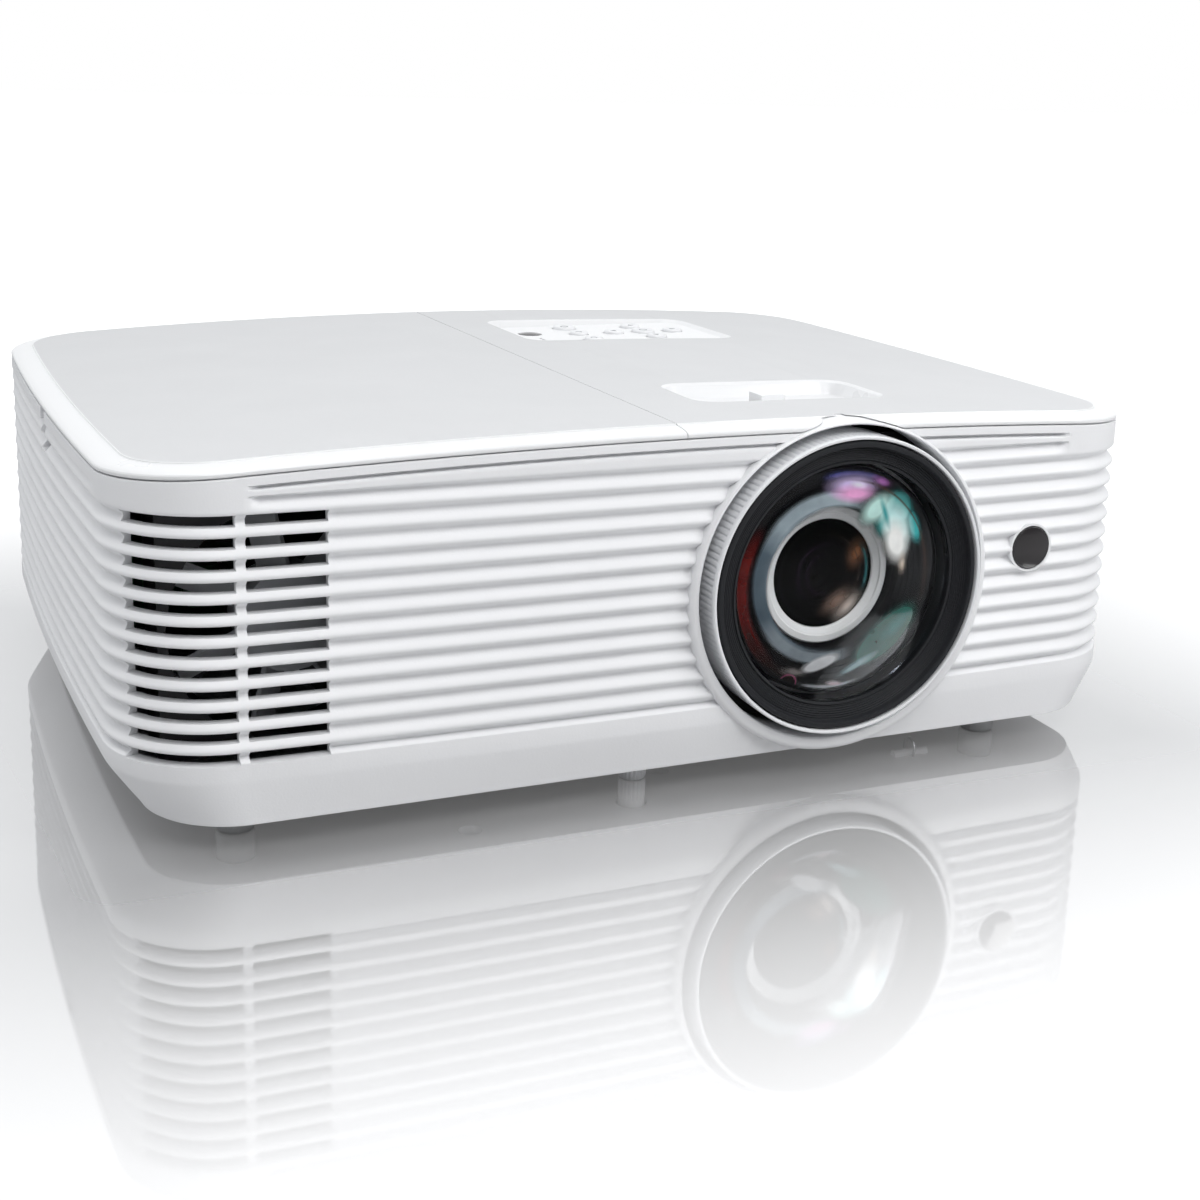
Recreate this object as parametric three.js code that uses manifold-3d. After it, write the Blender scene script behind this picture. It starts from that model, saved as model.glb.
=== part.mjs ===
// A home projector: ribbed casing, lid with lamp cover, focusing lens, lamp optics, fans, boards, sockets
// and feet.
// Millimetres, +Z up, the lens looks along -Y, and +X is the casing's right hand seen from the front.
import * as THREE from "three";
import { mergeVertices } from "three/addons/utils/BufferGeometryUtils.js";
import Module from "manifold-3d";

const wasm = await Module();
wasm.setup();

// ---------------------------------------------------------------- driving dimensions

// Casing outline, seen from above: four shallow arcs with rounded corners.
const bodyWidth = 316;
const bodyDepth = 242;
const sideBow = 3.2;
const frontBow = 3.3;
const cornerRadius = 29.8;
const wall = 2;

// Heights above the table. The crown is the lid's curve across its width, in 1/mm.
const footHeight = 11.1;
const floorThickness = 2.5;
const wallTopHeight = 102.8;
const lidRise = 2.9;
const crown = 2.0e-4;

// Clearances: between two fixed pieces, beside a moving piece, and how far a cut reaches past a face.
const pieceGap = 0.3;
const runGap = 0.5;
const past = 5;

const halfWidth = bodyWidth / 2;
const halfDepth = bodyDepth / 2;
const front = -halfDepth;
const floorTop = footHeight + floorThickness;
const onFloor = floorTop + pieceGap;
const lidTop = wallTopHeight + lidRise;

// Ribs: grooves that run round the front and the sides, one under the other.
const ribPitch = 5.62;
const ribDepth = 2;
const topGrooveDrop = 8.78;
const ribCrestShare = 0.74;
const skirt = { band: 15.4, height: 12.8, side: 8.5, front: 3, frontBow: 0.4, cornerLoss: 5.5 };
const longGroove = { endInset: 37, half: 0.5, middleExtra: 0.4, depthShare: 0.8 };
const topGroove = wallTopHeight - topGrooveDrop;
const ribCount = Math.floor((topGroove - footHeight - skirt.band) / ribPitch);
const innerInset = ribDepth + wall;

// Lid: the bevel from its edge inwards, the tongue inside the wall, and the split line to the lamp cover.
const bevel = [[0.6, 0], [0, 0.5], [0, 1.0], [0.9, 1.9], [3.4, 2.35], [6.8, 2.5]];
const bevelWidth = 7.2;
const lidTongue = { depth: 5, thickness: 2 };
const lampCoverEdge = -5;
const seam = 0.3;

// Lens axis and its round pieces, each inside the one before it. Depths are measured from the front face.
const lensX = 46;
const lensZ = 58.2;
const wellRadius = 46.1;
const hoop = { wall: 2.4, drop: 1.7, proud: 1.5, length: 10, edge: 0.9 };
const focusRing = { clearance: 2.5, proud: 5.2, length: 16, wall: 1.1, web: 2 };
const bezel = { slope: 6.4, setBack: 0.2, lip: 0.6 };
const glass = { proud: 6.5, domeRise: 5, edge: 3, hollow: 4.5, play: 0.1 };
const sleeve = { overGlass: 1, wall: 2, length: 50.2 };
const barrel = { clearance: 1, wall: 1.6, shortBy: 2 };
const innerGlass = { rim: 11.8, setBack: 8, thickness: 7, rise: 1.6, ledge: 3 };
const bracket = { setBack: 20, thickness: 4, beside: 7.4, above: 1.9 };
const lever = { width: 8, length: 8, topClear: 0.8, offset: -0.5 };
const focusTravel = { degrees: 12, slide: 0.75 };

const hoopRadius = wellRadius + hoop.wall;
const hoopZ = lensZ - hoop.drop;
const ringRadius = wellRadius - focusRing.clearance;
const ringInner = ringRadius - focusRing.wall;
const bezelRadius = ringInner - runGap;
const glassRadius = bezelRadius - bezel.slope;
const sleeveRadius = glassRadius + sleeve.overGlass;
const barrelRadius = sleeveRadius - sleeve.wall - barrel.clearance;
const barrelInner = barrelRadius - barrel.wall;
const innerGlassRadius = barrelInner - innerGlass.rim;
const throatRadius = innerGlassRadius - innerGlass.ledge;
const ringFront = -focusRing.proud;
const ringBack = ringFront + focusRing.length;
const sleeveFront = ringBack - focusRing.web;
const sleeveBack = sleeveFront + sleeve.length;
const glassSeat = glass.domeRise - glass.proud;

// Front receiver window, beside the lens.
const receiver = { fromLens: 66.3, z: 62.8, radius: 6.5, length: 6, dome: 0.6, sink: 0.2 };
const receiverX = lensX + receiver.fromLens;

// Vent rows in the front left corner, measured from the left side, and the grey post behind them.
const vent = { height: 2.6, rows: 12, bar: 2.5, barAt: 33.05, leftEnd: 9.4, rightEnd: 55, reach: 12 };
const ventPost = { at: 17.65, width: 3.7, setBack: 6.2, depth: 4 };

// Fans. The front fan blows out through the vent, and the side fan draws in through the intake.
const frontFan = { fromSide: 50, fromFront: 29, z: 56, size: 70, depth: 18, blades: 7 };
const sideFan = { fromSide: 24, y: 20, z: 50, size: 60, depth: 15, blades: 7 };
const fan = { rim: 2, tipGap: 1.2, hubShare: 0.4, plate: 2.5, bars: 3, blade: 1.4, bladeLean: 0.75 };
const intake = { rows: 7, columns: 2, length: 24, gap: 6, reach: 12 };

// Recesses in the lid. The keypad is behind, and the focus lever's recess in front, above the lens.
const keypad = { x: 52, fromRear: 61, width: 80, depth: 50, corner: 7, sink: 3.2, plate: 1.2 };
const focusRecess = { x: 48, fromFront: 49.5, width: 64, depth: 31, corner: 7, sink: 5.2 };
const recessWall = 2;
const recessFloor = 1.8;
const keypadY = halfDepth - keypad.fromRear;
const focusY = front + focusRecess.fromFront;
const leverY = focusY + lever.offset;

// Keys: name, place from the middle of the keypad, and radius.
const keyTravel = 0.5;
const keyGap = 0.4;
const keyRise = 1.1;
const keys = [
  ["power_button", -12, 14, 4.2],
  ["menu_button", -12, 0, 3.4],
  ["source_button", -12, -14, 3.4],
  ["up_button", 14, 12, 3.6],
  ["down_button", 14, -12, 3.6],
  ["left_button", 2, 0, 3.6],
  ["right_button", 26, 0, 3.6],
  ["enter_button", 14, 0, 4.2],
];
const lidReceiver = { dx: -29.6, dy: 4, radius: 4.1 };
const lightBar = { dx: -28, dy: -14, width: 4, depth: 14 };

// Lamp optics: the engine stands behind the lens, and the light comes along +X from the lamp through
// the wheel.
const engine = {
  halfWidth: 32,
  behindSleeve: 4,
  depth: 60,
  below: 30.2,
  above: 29.8,
  tunnel: 10,
  footInset: 4,
};
const lightAxisDrop = 6.2;
const lightAxisFromBack = 22;
const wheel = { before: 23, radius: 24, thickness: 1.2, lift: 17, hub: 8, hubDepth: 1.9 };
const wheelMotor = { radius: 8.5, length: 12, leg: 6, legDepth: 3 };
const lamp = { before: 42, length: 58, radius: 26, wall: 2, size: 62, bowlDepth: 34 };
const burner = { neck: 6, length: 12 };
const holder = { wall: 3, clear: 1.2, lip: 4 };
const chip = { board: 1.6, width: 56, height: 46, fins: 7, finHeight: 18, fin: 2, base: 4, border: 4 };
const stackGap = 0.4;
const engineLeft = lensX - engine.halfWidth;
const engineRight = lensX + engine.halfWidth;
const engineFront = front + sleeveBack + engine.behindSleeve;
const engineBack = engineFront + engine.depth;
const engineBottom = lensZ - engine.below;
const engineTop = lensZ + engine.above;
const lightY = engineBack - lightAxisFromBack;
const lightZ = lensZ - lightAxisDrop;
const wheelX = engineLeft - wheel.before;
const lampMouth = engineLeft - lamp.before;

// Feet, pads and housing screws: name, x, y and, for a foot, how far it screws out.
const foot = { radius: 4, boss: 7.5, bossHeight: 16, thread: 3, seatDepth: 3 };
const rearFoot = { x: halfWidth - 38, y: halfDepth - 29 };
const feet = [
  ["front_foot", -9.5, front + 18, 12],
  ["rear_foot_left", -rearFoot.x, rearFoot.y, 7],
  ["rear_foot_right", rearFoot.x, rearFoot.y, 7],
];
const padRadius = 5.2;
const pads = [
  ["front_pad_left", 34 - halfWidth, front + 21],
  ["front_pad_right", halfWidth - 48, front + 18],
];
const screw = {
  head: 3,
  headHeight: 2,
  shank: 1.5,
  length: 9,
  sink: 1,
  boss: 4.8,
  socket: 1.2,
  socketDepth: 0.8,
};
const screws = [
  ["housing_screw_1", 98 - halfWidth, front + 15],
  ["housing_screw_2", lensX - 38, front + 37],
  ["housing_screw_3", 26 - halfWidth, -30],
  ["housing_screw_4", halfWidth - 26, -30],
];

// Boards. The ballast board is by the left wall, the power board fills the space from there to the lamp,
// and the main board the space from the lamp to the right rear foot.
const board = { thickness: 1.6, lift: 8, postInset: 6, post: 6, blockSink: 0.5 };
const ballastLeft = 20 - halfWidth;
const ballastWidth = 42;
const powerLeft = ballastLeft + ballastWidth + 8;
const powerWidth = engineLeft - 40 - powerLeft;
const mainLeft = engineLeft - 4;
const mainWidth = rearFoot.x - foot.boss - 4.5 - mainLeft;
// Corner on the floor, size, and blocks as [x, y, width, depth, height] from that corner.
const boards = [
  {
    name: "main_board",
    at: [mainLeft, 44],
    size: [mainWidth, 59],
    lift: board.lift + board.thickness,
    blocks: [[30, 12, 20, 14, 3], [mainWidth - 12, 14, 14, 10, 6]],
  },
  {
    name: "ballast_board",
    at: [ballastLeft, 16],
    size: [ballastWidth, 62],
    lift: board.lift,
    blocks: [[18, 34, 20, 24, 18], [32, 14, 10, 10, 14]],
  },
  {
    name: "power_board",
    at: [powerLeft, 30],
    size: [powerWidth, 64],
    lift: board.lift,
    blocks: [[18, 30, 24, 22, 22], [powerWidth - 14, 44, 14, 14, 26], [powerWidth - 14, 16, 10, 20, 16]],
  },
];
const speaker = { fromSide: 30, fromFront: 43, radius: 16, depth: 9 };

// Rear panel: a plate with its sockets, measured from its left edge and from the floor.
const panel = { fromSide: 32, width: 146, aboveFloor: 12.4, height: 46, thickness: 2, inset: 2.4 };
const panelRight = halfWidth - panel.fromSide;
const panelLeft = panelRight - panel.width;
const panelBottom = floorTop + panel.aboveFloor;
const panelTop = panelBottom + panel.height;
const panelOuter = halfDepth - panel.inset;
const lowerRow = panelBottom + 12;
const upperRow = panelBottom + 33;
const socketProud = 0.4;
const socketBack = 2;
// Name, place from the panel's left edge, row, width, height, depth, mouth width and mouth height.
const hollowSockets = [
  ["hdmi_socket_1", 26, lowerRow, 17, 8, 12, 14.2, 4.8],
  ["hdmi_socket_2", 49, lowerRow, 17, 8, 12, 14.2, 4.8],
  ["usb_socket", 26, upperRow, 16, 9, 14, 13, 5.4],
];
const socketTongue = { setBack: 5.5, widthShare: 0.36, heightShare: 0.12 };
// Name and place: each is a flange with a raised face in the shape of a D.
const facedSockets = [
  ["vga_socket", 81],
  ["serial_socket", 121],
];
const dFace = { flange: 30, height: 12.5, depth: 12, width: 17, faceHeight: 8.4, slope: 1.4, raise: 2 };
const jack = { at: 60, width: 26, height: 11, depth: 13, bore: 3.2, pitch: 13 };
const lockSlot = { fromRight: 7, width: 7, height: 3.2 };
const inlet = {
  beforePanel: 42,
  aboveFloor: 30.4,
  width: 31,
  height: 24,
  depth: 22,
  mouthWidth: 25,
  mouthHeight: 17,
  mouthDepth: 16,
  sink: 2,
};
const inletPins = [[-7, -1.5], [0, 2.5], [7, -1.5]];
const pin = { width: 2, height: 5 };
const inletX = panelLeft - inlet.beforePanel;
const inletZ = floorTop + inlet.aboveFloor;

// The bar under the floor that the wire loop hangs from.
const anchor = { fromSide: 69, fromFront: 23, barLength: 12, barRadius: 1.4, drop: 3.6, post: 3 };
const anchorX = halfWidth - anchor.fromSide;
const anchorY = front + anchor.fromFront;
const tether = { wire: 0.45, width: 5.5, length: 7, clear: 0.35 };

// The lamp cover's captive screw in the left side, its notch, and the lug behind the wall that it holds.
const coverScrew = {
  y: -8,
  fromTop: 12.8,
  head: 2.6,
  headHeight: 2,
  shank: 1.5,
  socket: 1.1,
  socketDepth: 0.9,
  length: 9,
  sink: 2,
};
const coverScrewZ = wallTopHeight - coverScrew.fromTop;
const screwNotch = { width: 10, below: 4.5, depth: 2.6 };
const lug = { width: 9, thickness: 2.4, below: 4, slot: 2.2 };

// Smoothness.
const round = { small: 12, medium: 20, large: 36 };
const outlineSteps = { side: 2, corner: 4, front: 4 };
const curveSteps = 4;

// The row frame's origin is the middle of the whole depth, lens included.
const centringShift = glass.proud / 2;

// ---------------------------------------------------------------- solids from three.js geometry

function toSolid(geometry) {
  const bare = new THREE.BufferGeometry();
  const flat = geometry.index ? geometry.toNonIndexed() : geometry;
  bare.setAttribute("position", flat.getAttribute("position"));
  const merged = mergeVertices(bare, 1e-4);
  const index = merged.index.array;
  const kept = [];
  for (let i = 0; i < index.length; i += 3) {
    const [a, b, c] = [index[i], index[i + 1], index[i + 2]];
    if (a !== b && b !== c && a !== c) kept.push(a, b, c);
  }
  const make = (triangles) =>
    new wasm.Manifold(
      new wasm.Mesh({
        numProp: 3,
        vertProperties: new Float32Array(merged.attributes.position.array),
        triVerts: new Uint32Array(triangles),
      }),
    );
  const solid = make(kept);
  if (solid.volume() > 0) return solid;
  const turned = [];
  for (let i = 0; i < kept.length; i += 3) turned.push(kept[i], kept[i + 2], kept[i + 1]);
  return make(turned);
}

function toGeometry(solid) {
  const mesh = solid.getMesh();
  const positions = new Float32Array(mesh.numVert * 3);
  for (let i = 0; i < mesh.numVert; i++) {
    const start = i * mesh.numProp;
    positions.set(mesh.vertProperties.subarray(start, start + 3), i * 3);
  }
  const geometry = new THREE.BufferGeometry();
  geometry.setAttribute("position", new THREE.BufferAttribute(positions, 3));
  geometry.setIndex(new THREE.BufferAttribute(new Uint32Array(mesh.triVerts), 1));
  geometry.computeVertexNormals();
  return geometry;
}

// A box between two corners.
function box(low, high) {
  const size = high.map((value, i) => value - low[i]);
  const geometry = new THREE.BoxGeometry(...size);
  geometry.translate(...low.map((value, i) => value + size[i] / 2));
  return toSolid(geometry);
}

// A box centred on (x, z), from one depth to another along Y.
const bar = (x, z, width, height, from, to) =>
  box([x - width / 2, from, z - height / 2], [x + width / 2, to, z + height / 2]);

function lathe(profile, segments) {
  const points = profile.map(([radius, along]) => new THREE.Vector2(radius, along));
  return new THREE.LatheGeometry(points, segments);
}

// A solid of revolution about the line through (x, z) along Y. Profile points are [radius, y].
function turnedY(profile, segments, x = 0, z = 0) {
  const geometry = lathe(profile, segments);
  geometry.translate(x, 0, z);
  return toSolid(geometry);
}

// The same about a line along X, through (y, z). Profile points are [radius, x].
function turnedX(profile, segments, y = 0, z = 0) {
  const geometry = lathe(profile, segments);
  geometry.rotateZ(-Math.PI / 2);
  geometry.translate(0, y, z);
  return toSolid(geometry);
}

// The same about a vertical line through (x, y). Profile points are [radius, z].
function turnedZ(profile, segments, x = 0, y = 0) {
  const geometry = lathe(profile, segments);
  geometry.rotateX(Math.PI / 2);
  geometry.translate(x, y, 0);
  return toSolid(geometry);
}

const rod = (radius, from, to) => [[0, from], [radius, from], [radius, to], [0, to]];

const pipe = (inner, outer, from, to) => [
  [inner, from],
  [outer, from],
  [outer, to],
  [inner, to],
  [inner, from],
];

// A flat shape in X and Y, raised from one height to another.
function prism(shape, bottom, top) {
  const geometry = new THREE.ExtrudeGeometry(shape, {
    depth: top - bottom,
    bevelEnabled: false,
    curveSegments: curveSteps,
  });
  geometry.translate(0, 0, bottom);
  return toSolid(geometry);
}

function roundedRectangle(x, y, width, depth, radius) {
  const [left, right] = [x - width / 2, x + width / 2];
  const [near, far] = [y - depth / 2, y + depth / 2];
  const shape = new THREE.Shape();
  shape.moveTo(left + radius, near);
  shape.lineTo(right - radius, near);
  shape.absarc(right - radius, near + radius, radius, -Math.PI / 2, 0, false);
  shape.lineTo(right, far - radius);
  shape.absarc(right - radius, far - radius, radius, 0, Math.PI / 2, false);
  shape.lineTo(left + radius, far);
  shape.absarc(left + radius, far - radius, radius, Math.PI / 2, Math.PI, false);
  shape.lineTo(left, near + radius);
  shape.absarc(left + radius, near + radius, radius, Math.PI, 1.5 * Math.PI, false);
  return shape;
}

// ---------------------------------------------------------------- casing outline

const casing = { halfWidth, halfDepth, sideBow, frontBow, corner: cornerRadius };
const skirtPlan = {
  halfWidth: halfWidth - skirt.side,
  halfDepth: halfDepth - skirt.front,
  sideBow,
  frontBow: skirt.frontBow,
  corner: cornerRadius - skirt.cornerLoss,
};

// The front half of the outline, from the leftmost point to the rightmost one, moved inwards by inset.
function frontHalf(plan, inset) {
  const chordX = plan.halfWidth - plan.sideBow;
  const chordY = plan.halfDepth - plan.frontBow;
  const sideRadius = (chordY ** 2 + plan.sideBow ** 2) / (2 * plan.sideBow);
  const frontRadius = (chordX ** 2 + plan.frontBow ** 2) / (2 * plan.frontBow);
  const sideCentre = -plan.halfWidth + sideRadius;
  const frontCentre = -plan.halfDepth + frontRadius;
  // The corner's centre lies on a circle about each arc's centre.
  const a = sideRadius - plan.corner;
  const b = frontRadius - plan.corner;
  const span = Math.hypot(sideCentre, frontCentre);
  const along = (a * a - b * b + span * span) / (2 * span);
  const across = Math.sqrt(Math.max(a * a - along * along, 0));
  const [ux, uy] = [-sideCentre / span, frontCentre / span];
  const options = [1, -1].map((side) => [
    sideCentre + ux * along - uy * across * side,
    uy * along + ux * across * side,
  ]);
  const [cx, cy] = options.sort((p, q) => p[0] + p[1] - q[0] - q[1])[0];
  const turn = (angle) => (angle > 0 ? angle : angle + 2 * Math.PI);
  const sideEnd = turn(Math.atan2(cy, cx - sideCentre));
  const frontStart = turn(Math.atan2(cy - frontCentre, cx));
  const points = [];
  const arc = (x, y, radius, from, to, steps) => {
    for (let i = 0; i < steps; i++) {
      const angle = from + ((to - from) * i) / steps;
      points.push([x + radius * Math.cos(angle), y + radius * Math.sin(angle)]);
    }
  };
  arc(sideCentre, 0, sideRadius - inset, Math.PI, sideEnd, outlineSteps.side);
  arc(cx, cy, plan.corner - inset, sideEnd, frontStart, outlineSteps.corner);
  arc(0, frontCentre, frontRadius - inset, frontStart, 1.5 * Math.PI, outlineSteps.front / 2);
  points.push([0, -plan.halfDepth + inset]);
  const mirrored = points.slice(0, -1).reverse();
  return [...points, ...mirrored.map(([x, y]) => [-x, y])];
}

// The whole closed outline. The rear half may have another inset than the front half.
function outline(plan, inset, rearInset = inset) {
  const near = frontHalf(plan, inset);
  const rear = frontHalf(plan, rearInset).slice(1, -1).reverse();
  return [...near, ...rear.map(([x, y]) => [x, -y])];
}

// The ends are closed in strips across the depth, which keeps a crowned end smooth.
function loft(rings) {
  const count = rings[0].length;
  const positions = rings.flat(2);
  const index = [];
  for (let row = 0; row < rings.length - 1; row++) {
    for (let i = 0; i < count; i++) {
      const [a, b] = [row * count + i, row * count + ((i + 1) % count)];
      index.push(a, b, b + count, a, b + count, a + count);
    }
  }
  const cap = (start, flip) => {
    for (let i = 0; i < count / 2; i++) {
      const quad = [i, i + 1, count - i - 1, (count - i) % count].map((n) => start + n);
      const [p, q, r, s] = flip ? quad.reverse() : quad;
      index.push(p, q, r, p, r, s);
    }
  };
  cap(0, true);
  cap((rings.length - 1) * count, false);
  const geometry = new THREE.BufferGeometry();
  geometry.setAttribute("position", new THREE.Float32BufferAttribute(positions, 3));
  geometry.setIndex(index);
  return toSolid(geometry);
}

const level = (points, z) => points.map(([x, y]) => [x, y, z]);
const crownDrop = (x) => crown * x * x;
const crowned = (points, z) => points.map(([x, y]) => [x, y, z - crownDrop(x)]);
const block = (plan, inset, bottom, top) =>
  loft([level(outline(plan, inset), bottom), level(outline(plan, inset), top)]);
const lidTopAt = (x) => lidTop - crownDrop(x);

// How far along Y the bowed front face stands at a given X.
function frontFaceAt(x) {
  const chord = halfWidth - sideBow;
  const radius = (chord ** 2 + frontBow ** 2) / (2 * frontBow);
  return front + radius - Math.sqrt(radius ** 2 - x ** 2);
}

// ---------------------------------------------------------------- materials and assembly

const root = new THREE.Group();
const assembly = new THREE.Group();
assembly.position.y = centringShift;
root.add(assembly);

function finish(colour, roughness, metalness = 0) {
  return () => new THREE.MeshStandardMaterial({ color: colour, roughness, metalness });
}

const whitePlastic = finish(0xf2f3f5, 0.45);
const lidPlastic = finish(0xe4e6ea, 0.6);
const keyPlastic = finish(0xd9dce1, 0.5);
const blackPlastic = finish(0x17181b, 0.5);
const greyPlastic = finish(0x8c9096, 0.6);
const smokedPlastic = finish(0x0a0a0c, 0.1);
const opticalGlass = finish(0x8fb0c8, 0.03);
const castAlloy = finish(0xa9adb2, 0.45, 0.9);
const steel = finish(0xc8cacf, 0.3, 1);
const circuitBoard = finish(0x1f5b36, 0.55);
const rubber = finish(0x2a2b2d, 0.9);
const lampGlass = finish(0xdfe6ee, 0.1, 0.6);

// One named mesh, made about its own origin, which is placed at a point inside a group.
function add(name, solid, material, at = [0, 0, 0], into = assembly) {
  const mesh = new THREE.Mesh(toGeometry(solid), material());
  mesh.name = name;
  mesh.position.set(...at);
  into.add(mesh);
}

// An empty group at a point of the assembly, turned about its vertical axis.
function groupAt(at, quarterTurns = 0) {
  const group = new THREE.Group();
  group.position.set(...at);
  group.rotation.z = (quarterTurns * Math.PI) / 2;
  assembly.add(group);
  return group;
}

// ---------------------------------------------------------------- casework

function ribbedWall() {
  const full = outline(casing, 0);
  const valleyRing = outline(casing, ribDepth, 0);
  const rings = [level(outline(skirtPlan, 0), footHeight), level(full, footHeight + skirt.height)];
  for (let i = ribCount; i >= 0; i--) {
    const valley = topGroove - i * ribPitch;
    rings.push(level(valleyRing, valley));
    rings.push(level(full, valley + (1 - ribCrestShare) * ribPitch));
  }
  rings.push(level(full, wallTopHeight));
  return loft(rings);
}

// Everything above the lid's lower edge, less the gap to it.
function aboveWall() {
  const edge = wallTopHeight - pieceGap;
  const ring = outline({ ...casing, halfWidth: halfWidth + past, halfDepth: halfDepth + past }, 0);
  return loft([crowned(ring, edge), crowned(ring, edge + 4 * past)]);
}

// The arched groove between the top rib and the lid, only across the front.
function archedGroove() {
  const half = halfWidth - longGroove.endInset;
  const drop = crownDrop(half);
  const middle = topGroove + ribPitch;
  const { half: thin, middleExtra } = longGroove;
  const shape = new THREE.Shape();
  shape.moveTo(-half, middle - drop - thin);
  shape.quadraticCurveTo(0, middle + drop - thin, half, middle - drop - thin);
  shape.lineTo(half, middle - drop + thin);
  shape.quadraticCurveTo(0, middle + drop + thin + middleExtra, -half, middle - drop + thin);
  const options = { depth: 2 * past, bevelEnabled: false, curveSegments: 3 * curveSteps };
  const geometry = new THREE.ExtrudeGeometry(shape, options);
  geometry.rotateX(Math.PI / 2);
  geometry.translate(0, front + past, 0);
  const kept = block(casing, ribDepth * longGroove.depthShare, 0, 2 * wallTopHeight);
  return toSolid(geometry).subtract(kept);
}

// Each row has a slot that follows the corner, a bar, and a straight slot.
function ventSlots() {
  const slots = [];
  const left = vent.leftEnd - halfWidth;
  const barX = vent.barAt - halfWidth;
  const [barLeft, barRight] = [barX - vent.bar / 2, barX + vent.bar / 2];
  const [outside, inside] = [front - past, front + vent.reach];
  const corner = new THREE.Shape();
  corner.moveTo(left - 3.5, front + 7.5);
  corner.lineTo(barLeft, outside);
  corner.lineTo(barLeft, inside);
  corner.lineTo(left + 9, inside + 9);
  for (let row = 1; row <= vent.rows; row++) {
    const z = topGroove - row * ribPitch;
    const [low, high] = [z - vent.height / 2, z + vent.height / 2];
    slots.push(prism(corner, low, high));
    slots.push(box([barRight, outside, low], [vent.rightEnd - halfWidth, inside, high]));
  }
  return slots;
}

// The rows lie in the rib grooves that are nearest to the side fan.
function intakeSlots() {
  const slots = [];
  const pitch = intake.length + intake.gap;
  const [inside, outside] = [halfWidth - intake.reach, halfWidth + past];
  for (let row = 0; row < intake.rows; row++) {
    const wanted = sideFan.z + (row - (intake.rows - 1) / 2) * ribPitch;
    const groove = topGroove - Math.round((topGroove - wanted) / ribPitch) * ribPitch;
    const [low, high] = [groove - vent.height / 2, groove + vent.height / 2];
    for (let column = 0; column < intake.columns; column++) {
      const y = sideFan.y + (column - (intake.columns - 1) / 2) * pitch;
      slots.push(box([inside, y - intake.length / 2, low], [outside, y + intake.length / 2, high]));
    }
  }
  return slots;
}

function lensHoop() {
  const back = front + hoop.length;
  const tip = front - hoop.proud;
  const profile = [
    [0, tip],
    [hoopRadius - hoop.edge, tip],
    [hoopRadius, tip + hoop.edge],
    [hoopRadius, back],
    [0, back],
  ];
  return turnedY(profile, round.large, lensX, hoopZ);
}

const lensWell = () =>
  turnedY(rod(wellRadius, front - hoop.proud - 1, front + hoop.length + past), round.large, lensX, lensZ);

function receiverBore() {
  const bore = rod(receiver.radius + pieceGap, front - past, front + 2 * past);
  return turnedY(bore, round.medium, receiverX, receiver.z);
}

function ventPostSolid() {
  const x = ventPost.at - halfWidth;
  const near = frontFaceAt(x) + ventPost.setBack;
  const low = [x - ventPost.width / 2, near, footHeight + 1];
  return box(low, [x + ventPost.width / 2, near + ventPost.depth, topGroove - 3]);
}

function lowerHousing() {
  let tub = ribbedWall().subtract(archedGroove()).subtract(aboveWall());
  tub = tub.subtract(block(casing, innerInset, floorTop + skirt.height, 2 * wallTopHeight));
  tub = tub.subtract(innerFloor());
  tub = tub.add(lensHoop()).subtract(lensWell()).subtract(receiverBore());
  for (const slot of [...ventSlots(), ...intakeSlots()]) tub = tub.subtract(slot);
  tub = tub.add(ventPostSolid());
  for (const [, x, y] of feet) tub = tub.add(footBoss(x, y)).subtract(footBore(x, y));
  for (const [, x, y] of screws) tub = tub.add(screwBoss(x, y)).subtract(screwBore(x, y));
  tub = tub.subtract(rearWindow(panelLeft, panelRight, panelBottom, panelTop));
  return tub.subtract(inletWindow()).subtract(coverNotch()).subtract(coverScrewBore());
}

// The hollow's lower part narrows with the skirt.
function innerFloor() {
  const low = { ...skirtPlan, halfWidth: skirtPlan.halfWidth + 1, frontBow };
  const upper = floorTop + skirt.height;
  const wide = outline(casing, innerInset);
  return loft([level(outline(low, innerInset), floorTop), level(wide, upper), level(wide, upper + 1)]);
}

const footBoss = (x, y) =>
  turnedZ(rod(foot.boss, footHeight, footHeight + foot.bossHeight), round.medium, x, y);

function footBore(x, y) {
  const [wide, narrow] = [foot.radius + runGap, foot.thread + runGap];
  const profile = [
    [0, footHeight - 1],
    [wide, footHeight - 1],
    [wide, footHeight + foot.seatDepth],
    [narrow, footHeight + foot.seatDepth],
    [narrow, footHeight + foot.bossHeight + 1],
    [0, footHeight + foot.bossHeight + 1],
  ];
  return turnedZ(profile, round.medium, x, y);
}

const screwBoss = (x, y) =>
  turnedZ(rod(screw.boss, footHeight, footHeight + screw.length + 2), round.small, x, y);

function screwBore(x, y) {
  const [wide, narrow] = [screw.head + pieceGap, screw.shank + pieceGap];
  const ledge = footHeight + screw.sink + screw.headHeight + pieceGap;
  const top = footHeight + screw.length + 3;
  const profile = [
    [0, footHeight - 1],
    [wide, footHeight - 1],
    [wide, ledge],
    [narrow, ledge],
    [narrow, top],
    [0, top],
  ];
  return turnedZ(profile, round.small, x, y);
}

const rearWindow = (left, right, bottom, top) =>
  box([left, halfDepth - 3 * past, bottom], [right, halfDepth + past, top]);

const inletWindow = () =>
  rearWindow(
    inletX - inlet.width / 2 - pieceGap,
    inletX + inlet.width / 2 + pieceGap,
    inletZ - inlet.height / 2 - pieceGap,
    inletZ + inlet.height / 2 + pieceGap,
  );

const coverScrewBore = () =>
  turnedX(
    rod(coverScrew.head + pieceGap, -halfWidth - past, -halfWidth + 2 * past),
    round.small,
    coverScrew.y,
    coverScrewZ,
  );

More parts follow.
